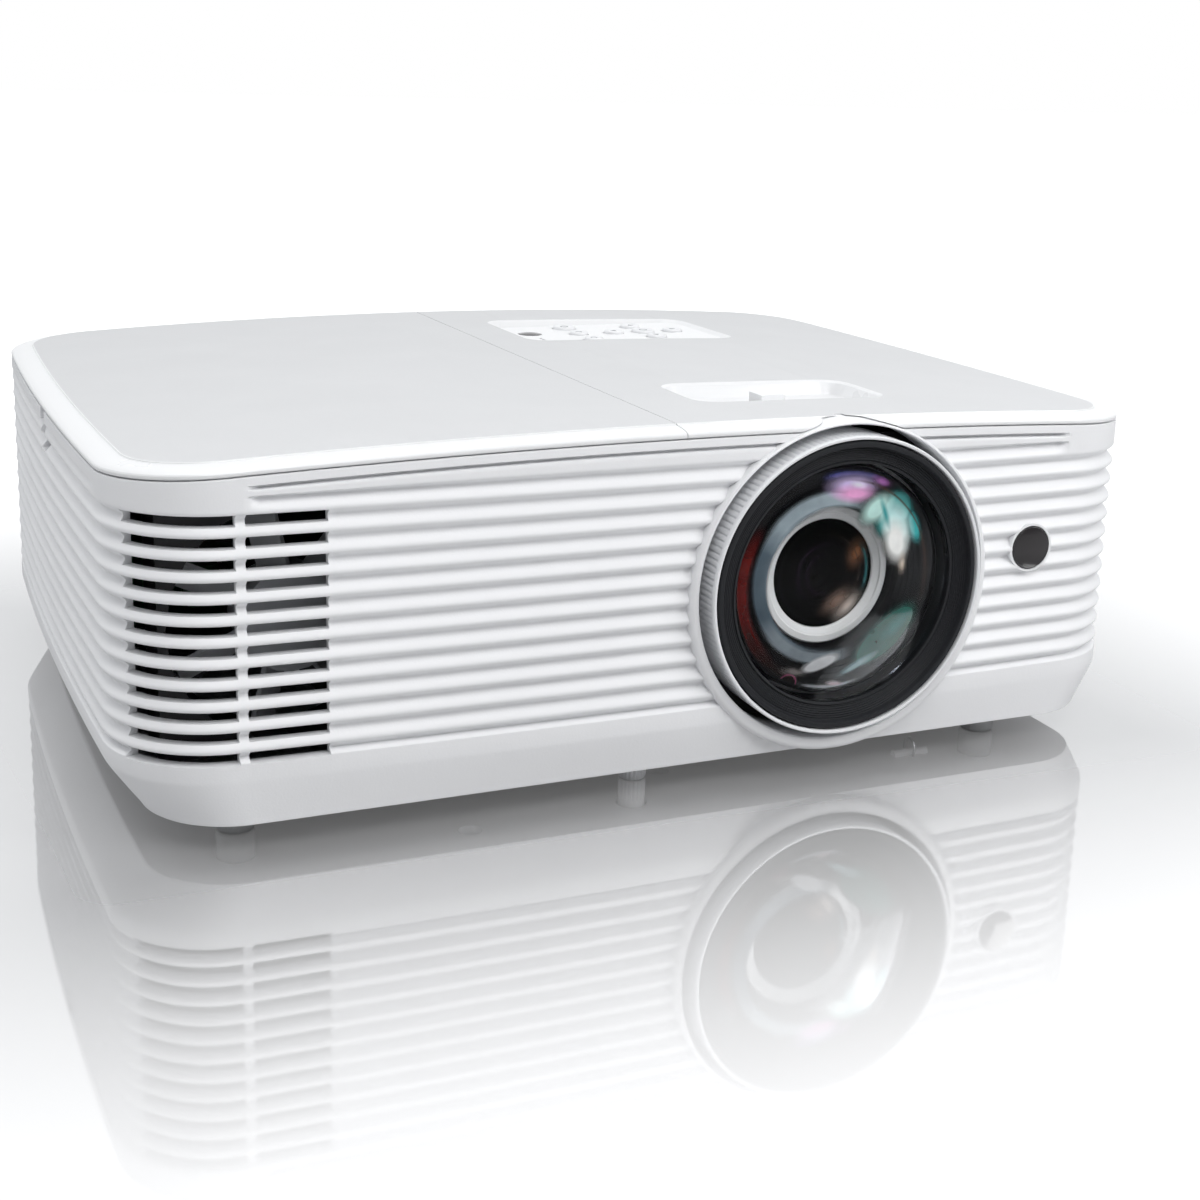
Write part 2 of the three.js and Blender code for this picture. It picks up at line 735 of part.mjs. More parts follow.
const coverNotch = () =>
  box(
    [-halfWidth - past, coverScrew.y - screwNotch.width / 2, coverScrewZ - screwNotch.below],
    [-halfWidth + screwNotch.depth, coverScrew.y + screwNotch.width / 2, wallTopHeight + past],
  );

// ---------------------------------------------------------------- lid

// The lid and the lamp cover are one crowned shape, split at a straight line.
function wholeLid() {
  const edge = wallTopHeight;
  const steps = [...bevel, [bevelWidth, lidRise]];
  const skin = loft(steps.map(([inset, rise]) => crowned(outline(casing, inset), edge + rise)));
  const outer = outline(casing, innerInset + pieceGap);
  const inner = outline(casing, innerInset + pieceGap + lidTongue.thickness);
  const tongue = loft([crowned(outer, edge - lidTongue.depth), crowned(outer, edge + 1)]);
  const hollow = loft([crowned(inner, edge - lidTongue.depth - 1), crowned(inner, edge + 0.4)]);
  return skin.add(tongue).subtract(hollow);
}

const hoopRelief = () =>
  turnedY(
    rod(hoopRadius + pieceGap, front - hoop.proud - past, front + hoop.length + pieceGap),
    round.large,
    lensX,
    hoopZ,
  );

const keypadFloor = lidTopAt(keypad.x) - keypad.sink;
const focusFloor = lidTopAt(focusRecess.x) - focusRecess.sink;

// A cup that hangs from the lid, and the hollow inside it.
function recess(spec, y, floor) {
  const [width, depth] = [spec.width + 2 * recessWall, spec.depth + 2 * recessWall];
  const cup = roundedRectangle(spec.x, y, width, depth, spec.corner + recessWall);
  const hollow = roundedRectangle(spec.x, y, spec.width, spec.depth, spec.corner);
  const underSkin = lidTopAt(spec.x + width / 2) - 0.6;
  return {
    cup: prism(cup, floor - recessFloor, underSkin),
    hollow: prism(hollow, floor, lidTop + past),
  };
}

// Distance from the lens axis to the top of the lever.
const lensReach = () => lidTopAt(lensX) - lever.topClear - lensZ;

function leverSlot() {
  const swing = lensReach() * Math.sin(THREE.MathUtils.degToRad(focusTravel.degrees));
  const half = swing + lever.width / 2 + runGap;
  const [near, far] = [leverY - lever.length / 2 - 1, leverY + lever.length / 2 + 1];
  return box([lensX - half, near, focusFloor - past - 3], [lensX + half, far, focusFloor + 1]);
}

// The lug hangs behind the wall, and its slot is open below, so the cover lifts off the screw.
function coverLug() {
  const outer = -halfWidth + innerInset + pieceGap;
  const top = wallTopHeight - crownDrop(halfWidth) - 1;
  return box(
    [outer, coverScrew.y - lug.width / 2, coverScrewZ - lug.below],
    [outer + lug.thickness, coverScrew.y + lug.width / 2, top],
  );
}

function lugSlot() {
  const outer = -halfWidth + innerInset;
  return box(
    [outer - 1, coverScrew.y - lug.slot, coverScrewZ - lug.below - 1],
    [outer + lug.thickness + 2, coverScrew.y + lug.slot, coverScrewZ + lug.slot],
  );
}

function lidParts() {
  const lid = wholeLid();
  const far = 2 * bodyWidth;
  const leftOf = box([-far, -far, 0], [lampCoverEdge - seam / 2, far, far]);
  const rightOf = box([lampCoverEdge + seam / 2, -far, 0], [far, far, far]);
  const keypadCup = recess(keypad, keypadY, keypadFloor);
  const focusCup = recess(focusRecess, focusY, focusFloor);
  let right = lid.intersect(rightOf).add(keypadCup.cup).add(focusCup.cup);
  right = right.subtract(keypadCup.hollow).subtract(focusCup.hollow);
  right = right.subtract(leverSlot()).subtract(hoopRelief());
  for (const [, dx, dy, radius] of keys) {
    const bore = rod(radius + keyGap, keypadFloor - past, keypadFloor + 1);
    right = right.subtract(turnedZ(bore, round.small, keypad.x + dx, keypadY + dy));
  }
  add("lamp_cover", lid.intersect(leftOf).add(coverLug()).subtract(lugSlot()), lidPlastic);
  add("top_cover", right, lidPlastic);
}

// ---------------------------------------------------------------- keypad

// Heights of the keypad pieces above the floor of their recess.
const plateTop = pieceGap + keypad.plate;

function keyCap(radius) {
  const bottom = keyTravel + pieceGap - recessFloor;
  const top = plateTop + keyRise;
  const profile = [[0, bottom], [radius, bottom], [radius, top - 0.3], [radius - 0.5, top], [0, top]];
  return turnedZ(profile, round.small);
}

function keypadPlate() {
  const inset = 2 * runGap;
  const [width, depth] = [keypad.width - inset, keypad.depth - inset];
  let plate = prism(roundedRectangle(0, 0, width, depth, keypad.corner - runGap), pieceGap, plateTop);
  const bore = (x, y, radius) => turnedZ(rod(radius, -past, plateTop + past), round.small, x, y);
  for (const [, dx, dy, radius] of keys) plate = plate.subtract(bore(dx, dy, radius + keyGap));
  plate = plate.subtract(bore(lidReceiver.dx, lidReceiver.dy, lidReceiver.radius + pieceGap));
  const halfSlot = [lightBar.width / 2 + pieceGap, lightBar.depth / 2 + pieceGap];
  return plate.subtract(
    box(
      [lightBar.dx - halfSlot[0], lightBar.dy - halfSlot[1], -past],
      [lightBar.dx + halfSlot[0], lightBar.dy + halfSlot[1], plateTop + past],
    ),
  );
}

function lidReceiverWindow() {
  const { radius } = lidReceiver;
  const profile = [
    [0, pieceGap],
    [radius, pieceGap],
    [radius, plateTop],
    [radius - 1, plateTop + 0.5],
    [0, plateTop + 0.6],
  ];
  return turnedZ(profile, round.small);
}

const statusLightBar = () =>
  box(
    [-lightBar.width / 2, -lightBar.depth / 2, pieceGap],
    [lightBar.width / 2, lightBar.depth / 2, plateTop + 0.3],
  );

function keypadParts() {
  const pad = groupAt([keypad.x, keypadY, keypadFloor]);
  for (const [name, dx, dy, radius] of keys) add(name, keyCap(radius), keyPlastic, [dx, dy, 0], pad);
  add("keypad_plate", keypadPlate(), keyPlastic, [0, 0, 0], pad);
  const receiverPlace = [lidReceiver.dx, lidReceiver.dy, 0];
  add("lid_receiver_window", lidReceiverWindow(), smokedPlastic, receiverPlace, pad);
  add("status_light_bar", statusLightBar(), opticalGlass, [lightBar.dx, lightBar.dy, 0], pad);
}

function receiverWindow() {
  const profile = [
    [0, 0],
    [receiver.radius - 1, 0.15],
    [receiver.radius, receiver.dome],
    [receiver.radius, receiver.length],
    [0, receiver.length],
  ];
  const place = [receiverX, frontFaceAt(receiverX) + receiver.sink, receiver.z];
  add("receiver_window", turnedY(profile, round.medium), smokedPlastic, place);
}

// ---------------------------------------------------------------- lens

function focusRingSolid() {
  const webInner = sleeveRadius + pieceGap;
  const profile = [
    [ringInner, ringFront + 0.4],
    [ringInner + 0.4, ringFront],
    [ringRadius - 0.3, ringFront],
    [ringRadius, ringFront + 0.6],
    [ringRadius, ringBack],
    [webInner, ringBack],
    [webInner, ringBack - focusRing.web],
    [ringInner, ringBack - focusRing.web],
    [ringInner, ringFront + 0.4],
  ];
  return turnedY(profile, round.large);
}

// The sleeve turns with the ring, and its lever reaches up into the lid's recess.
function focusSleeve() {
  const wallProfile = pipe(sleeveRadius - sleeve.wall, sleeveRadius, sleeveFront, sleeveBack);
  const tube = turnedY(wallProfile, round.large);
  const y = leverY - front;
  const tab = box(
    [-lever.width / 2, y - lever.length / 2, sleeveRadius - 1],
    [lever.width / 2, y + lever.length / 2, lensReach()],
  );
  return tube.add(tab);
}

function lensBezel() {
  const tip = ringFront + bezel.setBack;
  const back = sleeveFront - focusTravel.slide - 2;
  const seatInner = glassRadius + pieceGap;
  const lipInner = glassRadius - bezel.lip;
  const profile = [
    [lipInner, glassSeat - 0.3],
    [glassRadius + bezel.lip, glassSeat - 1.4],
    [bezelRadius - 1.2, tip],
    [bezelRadius, tip + 0.5],
    [bezelRadius, back],
    [seatInner, back],
    [seatInner, glassSeat],
    [lipInner, glassSeat - 0.3],
  ];
  return turnedY(profile, round.large);
}

// A meniscus: the front bulges, and the back is hollow.
function frontGlass() {
  const radius = glassRadius - bezel.lip - glass.play;
  const edgeFront = glassSeat + pieceGap;
  const steps = 4;
  const profile = [];
  for (let i = 0; i <= steps; i++) {
    const share = i / steps;
    profile.push([radius * share, glassSeat - glass.domeRise * (1 - share ** 2)]);
  }
  profile.push([radius, edgeFront + glass.edge]);
  for (let i = steps; i >= 0; i -= 2) {
    const share = i / steps;
    profile.push([0.9 * radius * share, edgeFront + glass.edge - glass.hollow * (1 - share ** 2)]);
  }
  return turnedY(profile, round.large);
}

// The barrel steps down in rings towards the inner glass.
function lensBarrel() {
  const near = glassSeat + glass.edge + 2 * pieceGap;
  const back = sleeveBack - barrel.shortBy;
  const glassFront = innerGlass.setBack;
  const ledge = glassFront + innerGlass.thickness + 2 * pieceGap;
  const bore = innerGlassRadius + pieceGap;
  const profile = [
    [barrelInner, near],
    [barrelRadius, near],
    [barrelRadius, back],
    [throatRadius, back],
    [throatRadius, ledge],
    [bore, ledge],
    [bore, glassFront + 1],
    [innerGlassRadius + 2, glassFront - 0.5],
    [innerGlassRadius + 4, glassFront - 0.5],
    [innerGlassRadius + 6, glassFront - 1.6],
    [barrelInner - 3, glassFront - 1.6],
    [barrelInner, near],
  ];
  return turnedY(profile, round.large);
}

function innerLens() {
  const steps = 4;
  const profile = [];
  for (let i = 0; i <= steps; i++) {
    const share = i / steps;
    profile.push([innerGlassRadius * share, innerGlass.setBack + 1.4 + innerGlass.rise * share ** 2]);
  }
  profile.push([innerGlassRadius, innerGlass.setBack + innerGlass.thickness]);
  profile.push([0, innerGlass.setBack + innerGlass.thickness]);
  return turnedY(profile, round.medium);
}

function lensBracket() {
  const half = sleeveRadius + bracket.beside;
  const [near, far] = [bracket.setBack, bracket.setBack + bracket.thickness];
  const plate = box([-half, near, onFloor - lensZ], [half, far, sleeveRadius + bracket.above]);
  return plate.subtract(turnedY(rod(sleeveRadius + runGap, near - 1, far + 1), round.large));
}

function lensParts() {
  const lens = groupAt([lensX, front, lensZ]);
  const put = (name, solid, material) => add(name, solid, material, [0, 0, 0], lens);
  put("focus_ring", focusRingSolid(), greyPlastic);
  put("focus_sleeve", focusSleeve(), blackPlastic);
  put("lens_bezel", lensBezel(), blackPlastic);
  put("front_glass", frontGlass(), opticalGlass);
  put("lens_barrel", lensBarrel(), blackPlastic);
  put("inner_glass", innerLens(), opticalGlass);
  put("lens_bracket", lensBracket(), blackPlastic);
}

// ---------------------------------------------------------------- lamp optics

function opticalEngine() {
  let casting = box([engineLeft, engineFront, engineBottom], [engineRight, engineBack, engineTop]);
  const tunnel = rod(engine.tunnel, wheelX + 4, engineLeft + 2);
  casting = casting.add(turnedX(tunnel, round.medium, lightY, lightZ));
  const inset = engine.footInset;
  const base = box(
    [engineLeft + inset, engineFront + inset + 2, onFloor],
    [engineRight - inset, engineBack - inset - 2, engineBottom + 1],
  );
  const throat = turnedY(rod(throatRadius, engineFront - 1, engineFront + 20), round.medium, lensX, lensZ);
  return casting.add(base).subtract(throat);
}

const chipLeft = lensX - chip.width / 2;
const chipBottom = lensZ - chip.height / 2;
const chipFront = engineBack + stackGap;
const sinkFront = chipFront + chip.board + stackGap;

const chipBoard = () =>
  box(
    [chipLeft, chipFront, chipBottom],
    [chipLeft + chip.width, chipFront + chip.board, chipBottom + chip.height],
  );

function chipHeatsink() {
  const left = chipLeft + chip.border;
  const width = chip.width - 2 * chip.border;
  const [low, high] = [chipBottom + chip.border / 2, chipBottom + chip.height - chip.border / 2];
  const finBack = sinkFront + chip.base + chip.finHeight;
  const pitch = (width - chip.fin) / (chip.fins - 1);
  let sink = box([left, sinkFront, low], [left + width, sinkFront + chip.base, high]);
  for (let i = 0; i < chip.fins; i++) {
    const x = left + i * pitch;
    sink = sink.add(box([x, sinkFront + 1, low], [x + chip.fin, finBack, high]));
  }
  return sink;
}

function colourWheel() {
  const half = wheel.thickness / 2;
  const hubEnd = -half - wheel.hubDepth;
  const profile = [
    [0, hubEnd],
    [wheel.hub, hubEnd],
    [wheel.hub, -half],
    [wheel.radius, -half],
    [wheel.radius, half],
    [0, half],
  ];
  return turnedX(profile, round.medium);
}

// The motor stands on a leg behind the wheel's rim.
function colourWheelMotor() {
  const right = -wheel.thickness / 2 - wheel.hubDepth - runGap;
  const motor = turnedX(rod(wheelMotor.radius, right - wheelMotor.length, right), round.small);
  const far = wheel.radius + 4;
  const floor = onFloor - lightZ - wheel.lift;
  const [legLeft, legRight] = [right - 3 - wheelMotor.leg, right - 3];
  const leg = box([legLeft, far - wheelMotor.legDepth, floor], [legRight, far, 3]);
  const arm = box([legLeft, 0, 3 - wheelMotor.leg], [legRight, far, 3]);
  return motor.add(leg).add(arm);
}

// A bowl that opens along +X, with the burner's neck behind it. Its mouth is at X 0.
function lampReflector() {
  const steps = 4;
  const outer = [];
  const inner = [];
  for (let i = 0; i <= steps; i++) {
    const share = i / steps;
    const fall = 1 - share ** 2;
    outer.push([burner.neck + (lamp.radius - burner.neck) * share, -lamp.bowlDepth * fall]);
    inner.push([
      burner.neck + (lamp.radius - burner.neck - lamp.wall) * share,
      -(lamp.bowlDepth - lamp.wall) * fall,
    ]);
  }
  const middle = [0, lamp.wall - lamp.bowlDepth];
  const neckEnd = -lamp.bowlDepth - burner.length;
  const profile = [middle, [0, neckEnd], [burner.neck, neckEnd], ...outer, ...inner.reverse(), middle];
  return turnedX(profile, round.medium);
}

// A tray round the lamp, open above so that the lamp lifts out.
function lampHolder() {
  const half = lamp.size / 2;
  const clear = lamp.radius + holder.clear;
  const floor = onFloor - lightZ;
  const outer = box([-lamp.length, -half, floor], [holder.lip, half, half]);
  const inner = box([holder.wall - lamp.length, -clear, -clear], [holder.lip + 1, clear, half + 1]);
  return outer.subtract(inner);
}

function opticalParts() {
  add("optical_engine", opticalEngine(), castAlloy);
  add("chip_board", chipBoard(), circuitBoard);
  add("chip_heatsink", chipHeatsink(), castAlloy);
  const spin = groupAt([wheelX, lightY, lightZ + wheel.lift]);
  add("colour_wheel", colourWheel(), opticalGlass, [0, 0, 0], spin);
  add("colour_wheel_motor", colourWheelMotor(), steel, [0, 0, 0], spin);
  const light = groupAt([lampMouth, lightY, lightZ]);
  add("lamp_reflector", lampReflector(), lampGlass, [0, 0, 0], light);
  add("lamp_holder", lampHolder(), blackPlastic, [0, 0, 0], light);
}

// ---------------------------------------------------------------- fans

// A fan's axis is its own Y, through the middle of its frame.
function fanFrame({ size, depth }) {
  const half = size / 2;
  const back = depth / 2;
  const hub = half * fan.hubShare;
  const bore = turnedY(rod(half - fan.rim, -depth, depth), round.medium);
  const plate = turnedY(rod(hub, back - fan.plate, back), round.medium);
  let frame = box([-half, -back, -half], [half, back, half]).subtract(bore).add(plate);
  for (let i = 0; i < fan.bars; i++) {
    const spoke = new THREE.BoxGeometry(half - hub + 2, fan.plate, 3);
    spoke.translate((half + hub) / 2 - 0.5, back - fan.plate / 2, 0);
    spoke.rotateY((i * 2 * Math.PI) / fan.bars + 0.4);
    frame = frame.add(toSolid(spoke));
  }
  return frame;
}

function fanRotor({ size, depth, blades }) {
  const half = size / 2;
  const hub = half * fan.hubShare;
  const tip = half - fan.rim - fan.tipGap;
  const [near, far] = [1 - depth / 2, depth / 2 - fan.plate - runGap];
  let rotor = turnedY(rod(hub, near, far), round.medium);
  for (let i = 0; i < blades; i++) {
    const blade = new THREE.BoxGeometry(tip - hub + 2, fan.blade, far - near - 4);
    blade.rotateX(Math.PI / 2 + fan.bladeLean);
    blade.scale(1, 0.8, 1);
    blade.translate((tip + hub) / 2 - 1, (near + far) / 2, 0);
    blade.rotateY((i * 2 * Math.PI) / blades);
    rotor = rotor.add(toSolid(blade));
  }
  return rotor;
}

function fanParts() {
  const atFront = groupAt([frontFan.fromSide - halfWidth, front + frontFan.fromFront, frontFan.z]);
  add("front_fan_frame", fanFrame(frontFan), blackPlastic, [0, 0, 0], atFront);
  add("front_fan_rotor", fanRotor(frontFan), greyPlastic, [0, 0, 0], atFront);
  const atSide = groupAt([halfWidth - sideFan.fromSide, sideFan.y, sideFan.z], 1);
  add("side_fan_frame", fanFrame(sideFan), blackPlastic, [0, 0, 0], atSide);
  add("side_fan_rotor", fanRotor(sideFan), greyPlastic, [0, 0, 0], atSide);
}

// ---------------------------------------------------------------- boards and speaker

// A board on two posts, with blocks on it. Its origin is the corner of its lower face.
function loadedBoard({ size: [width, depth], lift, blocks }) {
  let solid = box([0, 0, 0], [width, depth, board.thickness]);
  const half = board.post / 2;
  const inset = board.postInset;
  for (const [x, y] of [[inset, inset], [width - inset, depth - inset]]) {
    solid = solid.add(box([x - half, y - half, pieceGap - lift], [x + half, y + half, board.blockSink]));
  }
  for (const [x, y, blockWidth, blockDepth, height] of blocks) {
    const low = [x - blockWidth / 2, y - blockDepth / 2, board.thickness - board.blockSink];
    solid = solid.add(box(low, [x + blockWidth / 2, y + blockDepth / 2, board.thickness + height]));
  }
  return solid;
}

function speakerSolid() {
  const { radius, depth } = speaker;
  const profile = [
    [0, depth],
    [radius * 0.35, depth - 2],
    [radius * 0.85, depth + 2],
    [radius, depth + 2],
    [radius, depth],
    [radius * 0.6, pieceGap],
    [0, pieceGap],
  ];
  return turnedZ(profile, round.medium);
}

function boardParts() {
  for (const spec of boards) {
    add(spec.name, loadedBoard(spec), circuitBoard, [...spec.at, floorTop + spec.lift]);
  }
  const place = [halfWidth - speaker.fromSide, front + speaker.fromFront, floorTop];
  add("speaker", speakerSolid(), blackPlastic, place);
}

// ---------------------------------------------------------------- rear panel and sockets

// A socket's origin is the middle of its outer face, and its body is on the -Y side.
function hollowSocket(width, height, depth, mouthWidth, mouthHeight) {
  const mouth = bar(0, 0, mouthWidth, mouthHeight, socketBack - depth, 1);
  const tongueWidth = 2 * socketTongue.widthShare * mouthWidth;
  const tongueHeight = 2 * socketTongue.heightShare * mouthHeight;
  const tongue = bar(0, 0, tongueWidth, tongueHeight, 1 - depth, -socketTongue.setBack - socketProud);
  return bar(0, 0, width, height, -depth, 0).subtract(mouth).add(tongue);
}

function facedSocket() {
  const [half, low] = [dFace.width / 2, dFace.faceHeight / 2];
  const face = new THREE.Shape();
  face.moveTo(-half + dFace.slope, -low);
  face.lineTo(half - dFace.slope, -low);
  face.lineTo(half, low);
  face.lineTo(-half, low);
  const geometry = new THREE.ExtrudeGeometry(face, { depth: dFace.raise + 1, bevelEnabled: false });
  geometry.rotateX(Math.PI / 2);
  geometry.translate(0, dFace.raise, 0);
  return bar(0, 0, dFace.flange, dFace.height, -dFace.depth, 0).add(toSolid(geometry));
}

function audioJacks() {
  let body = bar(0, 0, jack.width, jack.height, -jack.depth, 0);
  for (const side of [-0.5, 0.5]) {
    const bore = rod(jack.bore, socketBack - jack.depth, past);
    body = body.subtract(turnedY(bore, round.small, side * jack.pitch, 0));
  }
  return body;
}

function powerInlet() {
  const mouth = bar(0, 0, inlet.mouthWidth, inlet.mouthHeight, -inlet.mouthDepth, 1);
  let body = bar(0, 0, inlet.width, inlet.height, -inlet.depth, 0).subtract(mouth);
  for (const [x, z] of inletPins) {
    body = body.add(bar(x, z, pin.width, pin.height, -inlet.mouthDepth - 1, -socketTongue.setBack));
  }
  return body;
}

function rearParts() {
  const outside = panelOuter + socketProud;
  let plate = box(
    [panelLeft + pieceGap, panelOuter - panel.thickness, panelBottom + pieceGap],
    [panelRight - pieceGap, panelOuter, panelTop - pieceGap],
  );
  const cutFor = (x, z, width, height) => {
    const [wide, high] = [width + 2 * pieceGap, height + 2 * pieceGap];
    plate = plate.subtract(bar(x, z, wide, high, panelOuter - past, panelOuter + past));
  };
  for (const [name, at] of facedSockets) {
    cutFor(panelLeft + at, lowerRow, dFace.flange, dFace.height);
    add(name, facedSocket(), steel, [panelLeft + at, outside, lowerRow]);
  }
  for (const [name, at, z, width, height, ...inner] of hollowSockets) {
    cutFor(panelLeft + at, z, width, height);
    add(name, hollowSocket(width, height, ...inner), steel, [panelLeft + at, outside, z]);
  }
  cutFor(panelLeft + jack.at, upperRow, jack.width, jack.height);
  add("audio_jacks", audioJacks(), blackPlastic, [panelLeft + jack.at, outside, upperRow]);
  const lockX = panelRight - lockSlot.fromRight - lockSlot.width / 2;
  cutFor(lockX, upperRow, lockSlot.width - 2 * pieceGap, lockSlot.height - 2 * pieceGap);
  add("rear_panel", plate, whitePlastic);
  add("power_inlet", powerInlet(), blackPlastic, [inletX, halfDepth - inlet.sink, inletZ]);
}

// ---------------------------------------------------------------- feet and pieces under the floor

// The stem is longer than its boss by the foot's travel.
function footSolid(travel) {
  const shoulder = footHeight + foot.seatDepth - runGap;
  const stemTop = footHeight + foot.bossHeight + travel + 1;
  const profile = [
    [0, 0],
    [foot.radius - 0.4, 0],
    [foot.radius, 0.5],
    [foot.radius, shoulder],
    [foot.thread, shoulder],
    [foot.thread, stemTop],
    [0, stemTop],
  ];
  return turnedZ(profile, round.medium);
}

function padSolid() {
  const top = footHeight - pieceGap;
  const profile = [[0, 0], [padRadius - 1, 0], [padRadius, 0.8], [padRadius, top], [0, top]];
  return turnedZ(profile, round.medium);
}

// A headed screw along +Y of its profile, with a socket in the head.
const screwProfile = ({ head, headHeight, shank, length, socket, socketDepth }) => [
  [0, socketDepth],
  [socket, socketDepth],
  [socket, 0],
  [head, 0],
  [head, headHeight],
  [shank, headHeight],
  [shank, length],
  [0, length],
];

// A bar on two posts, which the wire loop hangs from. Its origin is the middle of the bar.
function tetherAnchor() {
  const half = anchor.barLength / 2;
  const post = anchor.post / 2;
  let solid = turnedX(rod(anchor.barRadius, -half, half), round.small);
  for (const side of [-1, 1]) {
    const x = side * (half - post);
    solid = solid.add(box([x - post, -post, 0], [x + post, post, anchor.drop - pieceGap]));
  }
  return solid;
}

// A closed ring of wire round the bar, longer than it is wide.
function tetherLoop() {
  const clear = anchor.barRadius + tether.wire + tether.clear;
  const steps = 18;
  const centre = clear - tether.length / 2;
  const points = [];
  for (let i = 0; i < steps; i++) {
    const angle = (i / steps) * 2 * Math.PI;
    const y = (tether.width / 2) * Math.sin(angle);
    points.push(new THREE.Vector3(0, y, centre + (tether.length / 2) * Math.cos(angle)));
  }
  const section = new THREE.Shape();
  section.absarc(0, 0, tether.wire, 0, 2 * Math.PI, false);
  const extrudePath = new THREE.CatmullRomCurve3(points, true);
  const options = { steps, extrudePath, curveSegments: 3, bevelEnabled: false };
  return toSolid(new THREE.ExtrudeGeometry(section, options));
}

function underParts() {
  for (const [name, x, y, travel] of feet) add(name, footSolid(travel), whitePlastic, [x, y, 0]);
  for (const [name, x, y] of pads) add(name, padSolid(), rubber, [x, y, 0]);
  for (const [name, x, y] of screws) {
    add(name, turnedZ(screwProfile(screw), round.small), steel, [x, y, footHeight + screw.sink]);
  }
  const hang = groupAt([anchorX, anchorY, footHeight - anchor.drop]);
  add("tether_anchor", tetherAnchor(), whitePlastic, [0, 0, 0], hang);
  add("tether_loop", tetherLoop(), steel, [0, 0, 0], hang);
  const place = [coverScrew.sink - halfWidth, coverScrew.y, coverScrewZ];
  add("cover_screw", turnedX(screwProfile(coverScrew), round.small), steel, place);
}

// ---------------------------------------------------------------- put together

add("lower_housing", lowerHousing(), whitePlastic);
lidParts();
keypadParts();
receiverWindow();
lensParts();
opticalParts();
fanParts();
boardParts();
rearParts();
underParts();

export default root;
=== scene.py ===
# %% [markdown]
# # A home projector
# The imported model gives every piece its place. We load it first and keep its box, because nothing that we
# make later may be bigger than that box.

# %% Load the frame
import math

import bpy
import numpy as np
from mathutils import Matrix, Vector


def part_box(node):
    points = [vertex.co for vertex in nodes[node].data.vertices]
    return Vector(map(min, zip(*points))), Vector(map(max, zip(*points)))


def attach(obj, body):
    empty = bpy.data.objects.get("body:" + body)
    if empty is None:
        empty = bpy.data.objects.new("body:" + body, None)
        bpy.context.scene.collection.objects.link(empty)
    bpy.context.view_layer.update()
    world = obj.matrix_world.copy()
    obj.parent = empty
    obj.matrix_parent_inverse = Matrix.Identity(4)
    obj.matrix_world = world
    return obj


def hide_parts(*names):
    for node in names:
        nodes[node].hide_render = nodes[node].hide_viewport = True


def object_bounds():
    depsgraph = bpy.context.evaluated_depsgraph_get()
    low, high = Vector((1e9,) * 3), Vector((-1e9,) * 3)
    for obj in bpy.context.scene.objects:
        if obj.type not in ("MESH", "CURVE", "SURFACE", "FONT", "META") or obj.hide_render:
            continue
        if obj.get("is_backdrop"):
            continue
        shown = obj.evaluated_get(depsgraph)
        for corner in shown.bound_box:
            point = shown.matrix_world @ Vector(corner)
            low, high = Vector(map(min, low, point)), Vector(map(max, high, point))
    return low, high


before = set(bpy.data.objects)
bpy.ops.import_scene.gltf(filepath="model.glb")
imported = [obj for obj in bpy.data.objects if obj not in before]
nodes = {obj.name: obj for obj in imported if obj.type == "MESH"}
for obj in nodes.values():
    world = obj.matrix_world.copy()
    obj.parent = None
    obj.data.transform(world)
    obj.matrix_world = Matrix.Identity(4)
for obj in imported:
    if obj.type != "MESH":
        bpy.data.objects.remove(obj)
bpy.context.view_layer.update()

# %% [markdown]
# ## The main sizes
# A maker works in millimetres from the middle of the casing. The lid's box gives the width, the depth and
# that middle, and the lens pieces give the axis of the lens.

# %% Sizes from the frame
MM = 0.001
lid_low, lid_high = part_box("top_cover")
cover_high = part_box("lamp_cover")[1]
half_width = lid_high.x / MM
half_depth = (lid_high.y - lid_low.y) / 2 / MM
middle_y = (lid_high.y + lid_low.y) / 2 / MM
lid_top = lid_high.z / MM
front = -half_depth


def node_box(name):
    low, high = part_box(name)
    shift = Vector((0, middle_y, 0))
    return low / MM - shift, high / MM - shift


ring_low, ring_high = node_box("focus_ring")
lens_x = (ring_low.x + ring_high.x) / 2
lens_z = (ring_low.z + ring_high.z) / 2
ring_radius = (ring_high.x - ring_low.x) / 2
print(f"casing {2 * half_width:.1f} x {2 * half_depth:.1f} mm, lid top at {lid_top:.1f} mm")
print(f"lens axis at x {lens_x:.1f}, z {lens_z:.1f}, focus ring radius {ring_radius:.1f} mm")

# %% [markdown]
# ## The camera
# The camera stands a little to the left of the lens, looks slightly down, and leans a touch. Its place is
# measured from the middle of the casing, and a small upward shift of the film keeps the casing low in the
# picture, as a shift lens does for product pictures.

# %% Place the camera
CAMERA_PLACE = (-217.93, -541.53, 198.74)
YAW, PITCH, ROLL = 0.42, 0.242, 0.03
LENS_LENGTH, FILM_WIDTH, FILM_SHIFT = 53.81, 36, -0.0749

ahead = Vector((math.sin(YAW) * math.cos(PITCH), math.cos(YAW) * math.cos(PITCH), -math.sin(PITCH)))
level = Vector((math.cos(YAW), -math.sin(YAW), 0))
upright = level.cross(ahead)
sideways = level * math.cos(ROLL) + upright * math.sin(ROLL)
upwards = upright * math.cos(ROLL) - level * math.sin(ROLL)
camera = bpy.data.objects.new("camera", bpy.data.cameras.new("camera"))
bpy.context.scene.collection.objects.link(camera)
x, y, z = CAMERA_PLACE
camera.matrix_world = Matrix.Translation(Vector((x, y + middle_y, z)) * MM) @ Matrix(
    (sideways, upwards, -ahead)
).transposed().to_4x4()
camera.data.lens = LENS_LENGTH
camera.data.sensor_width = FILM_WIDTH
camera.data.shift_y = FILM_SHIFT
camera.data.clip_start = 0.01
bpy.context.scene.camera = camera
print("camera", [round(v, 3) for v in camera.location])

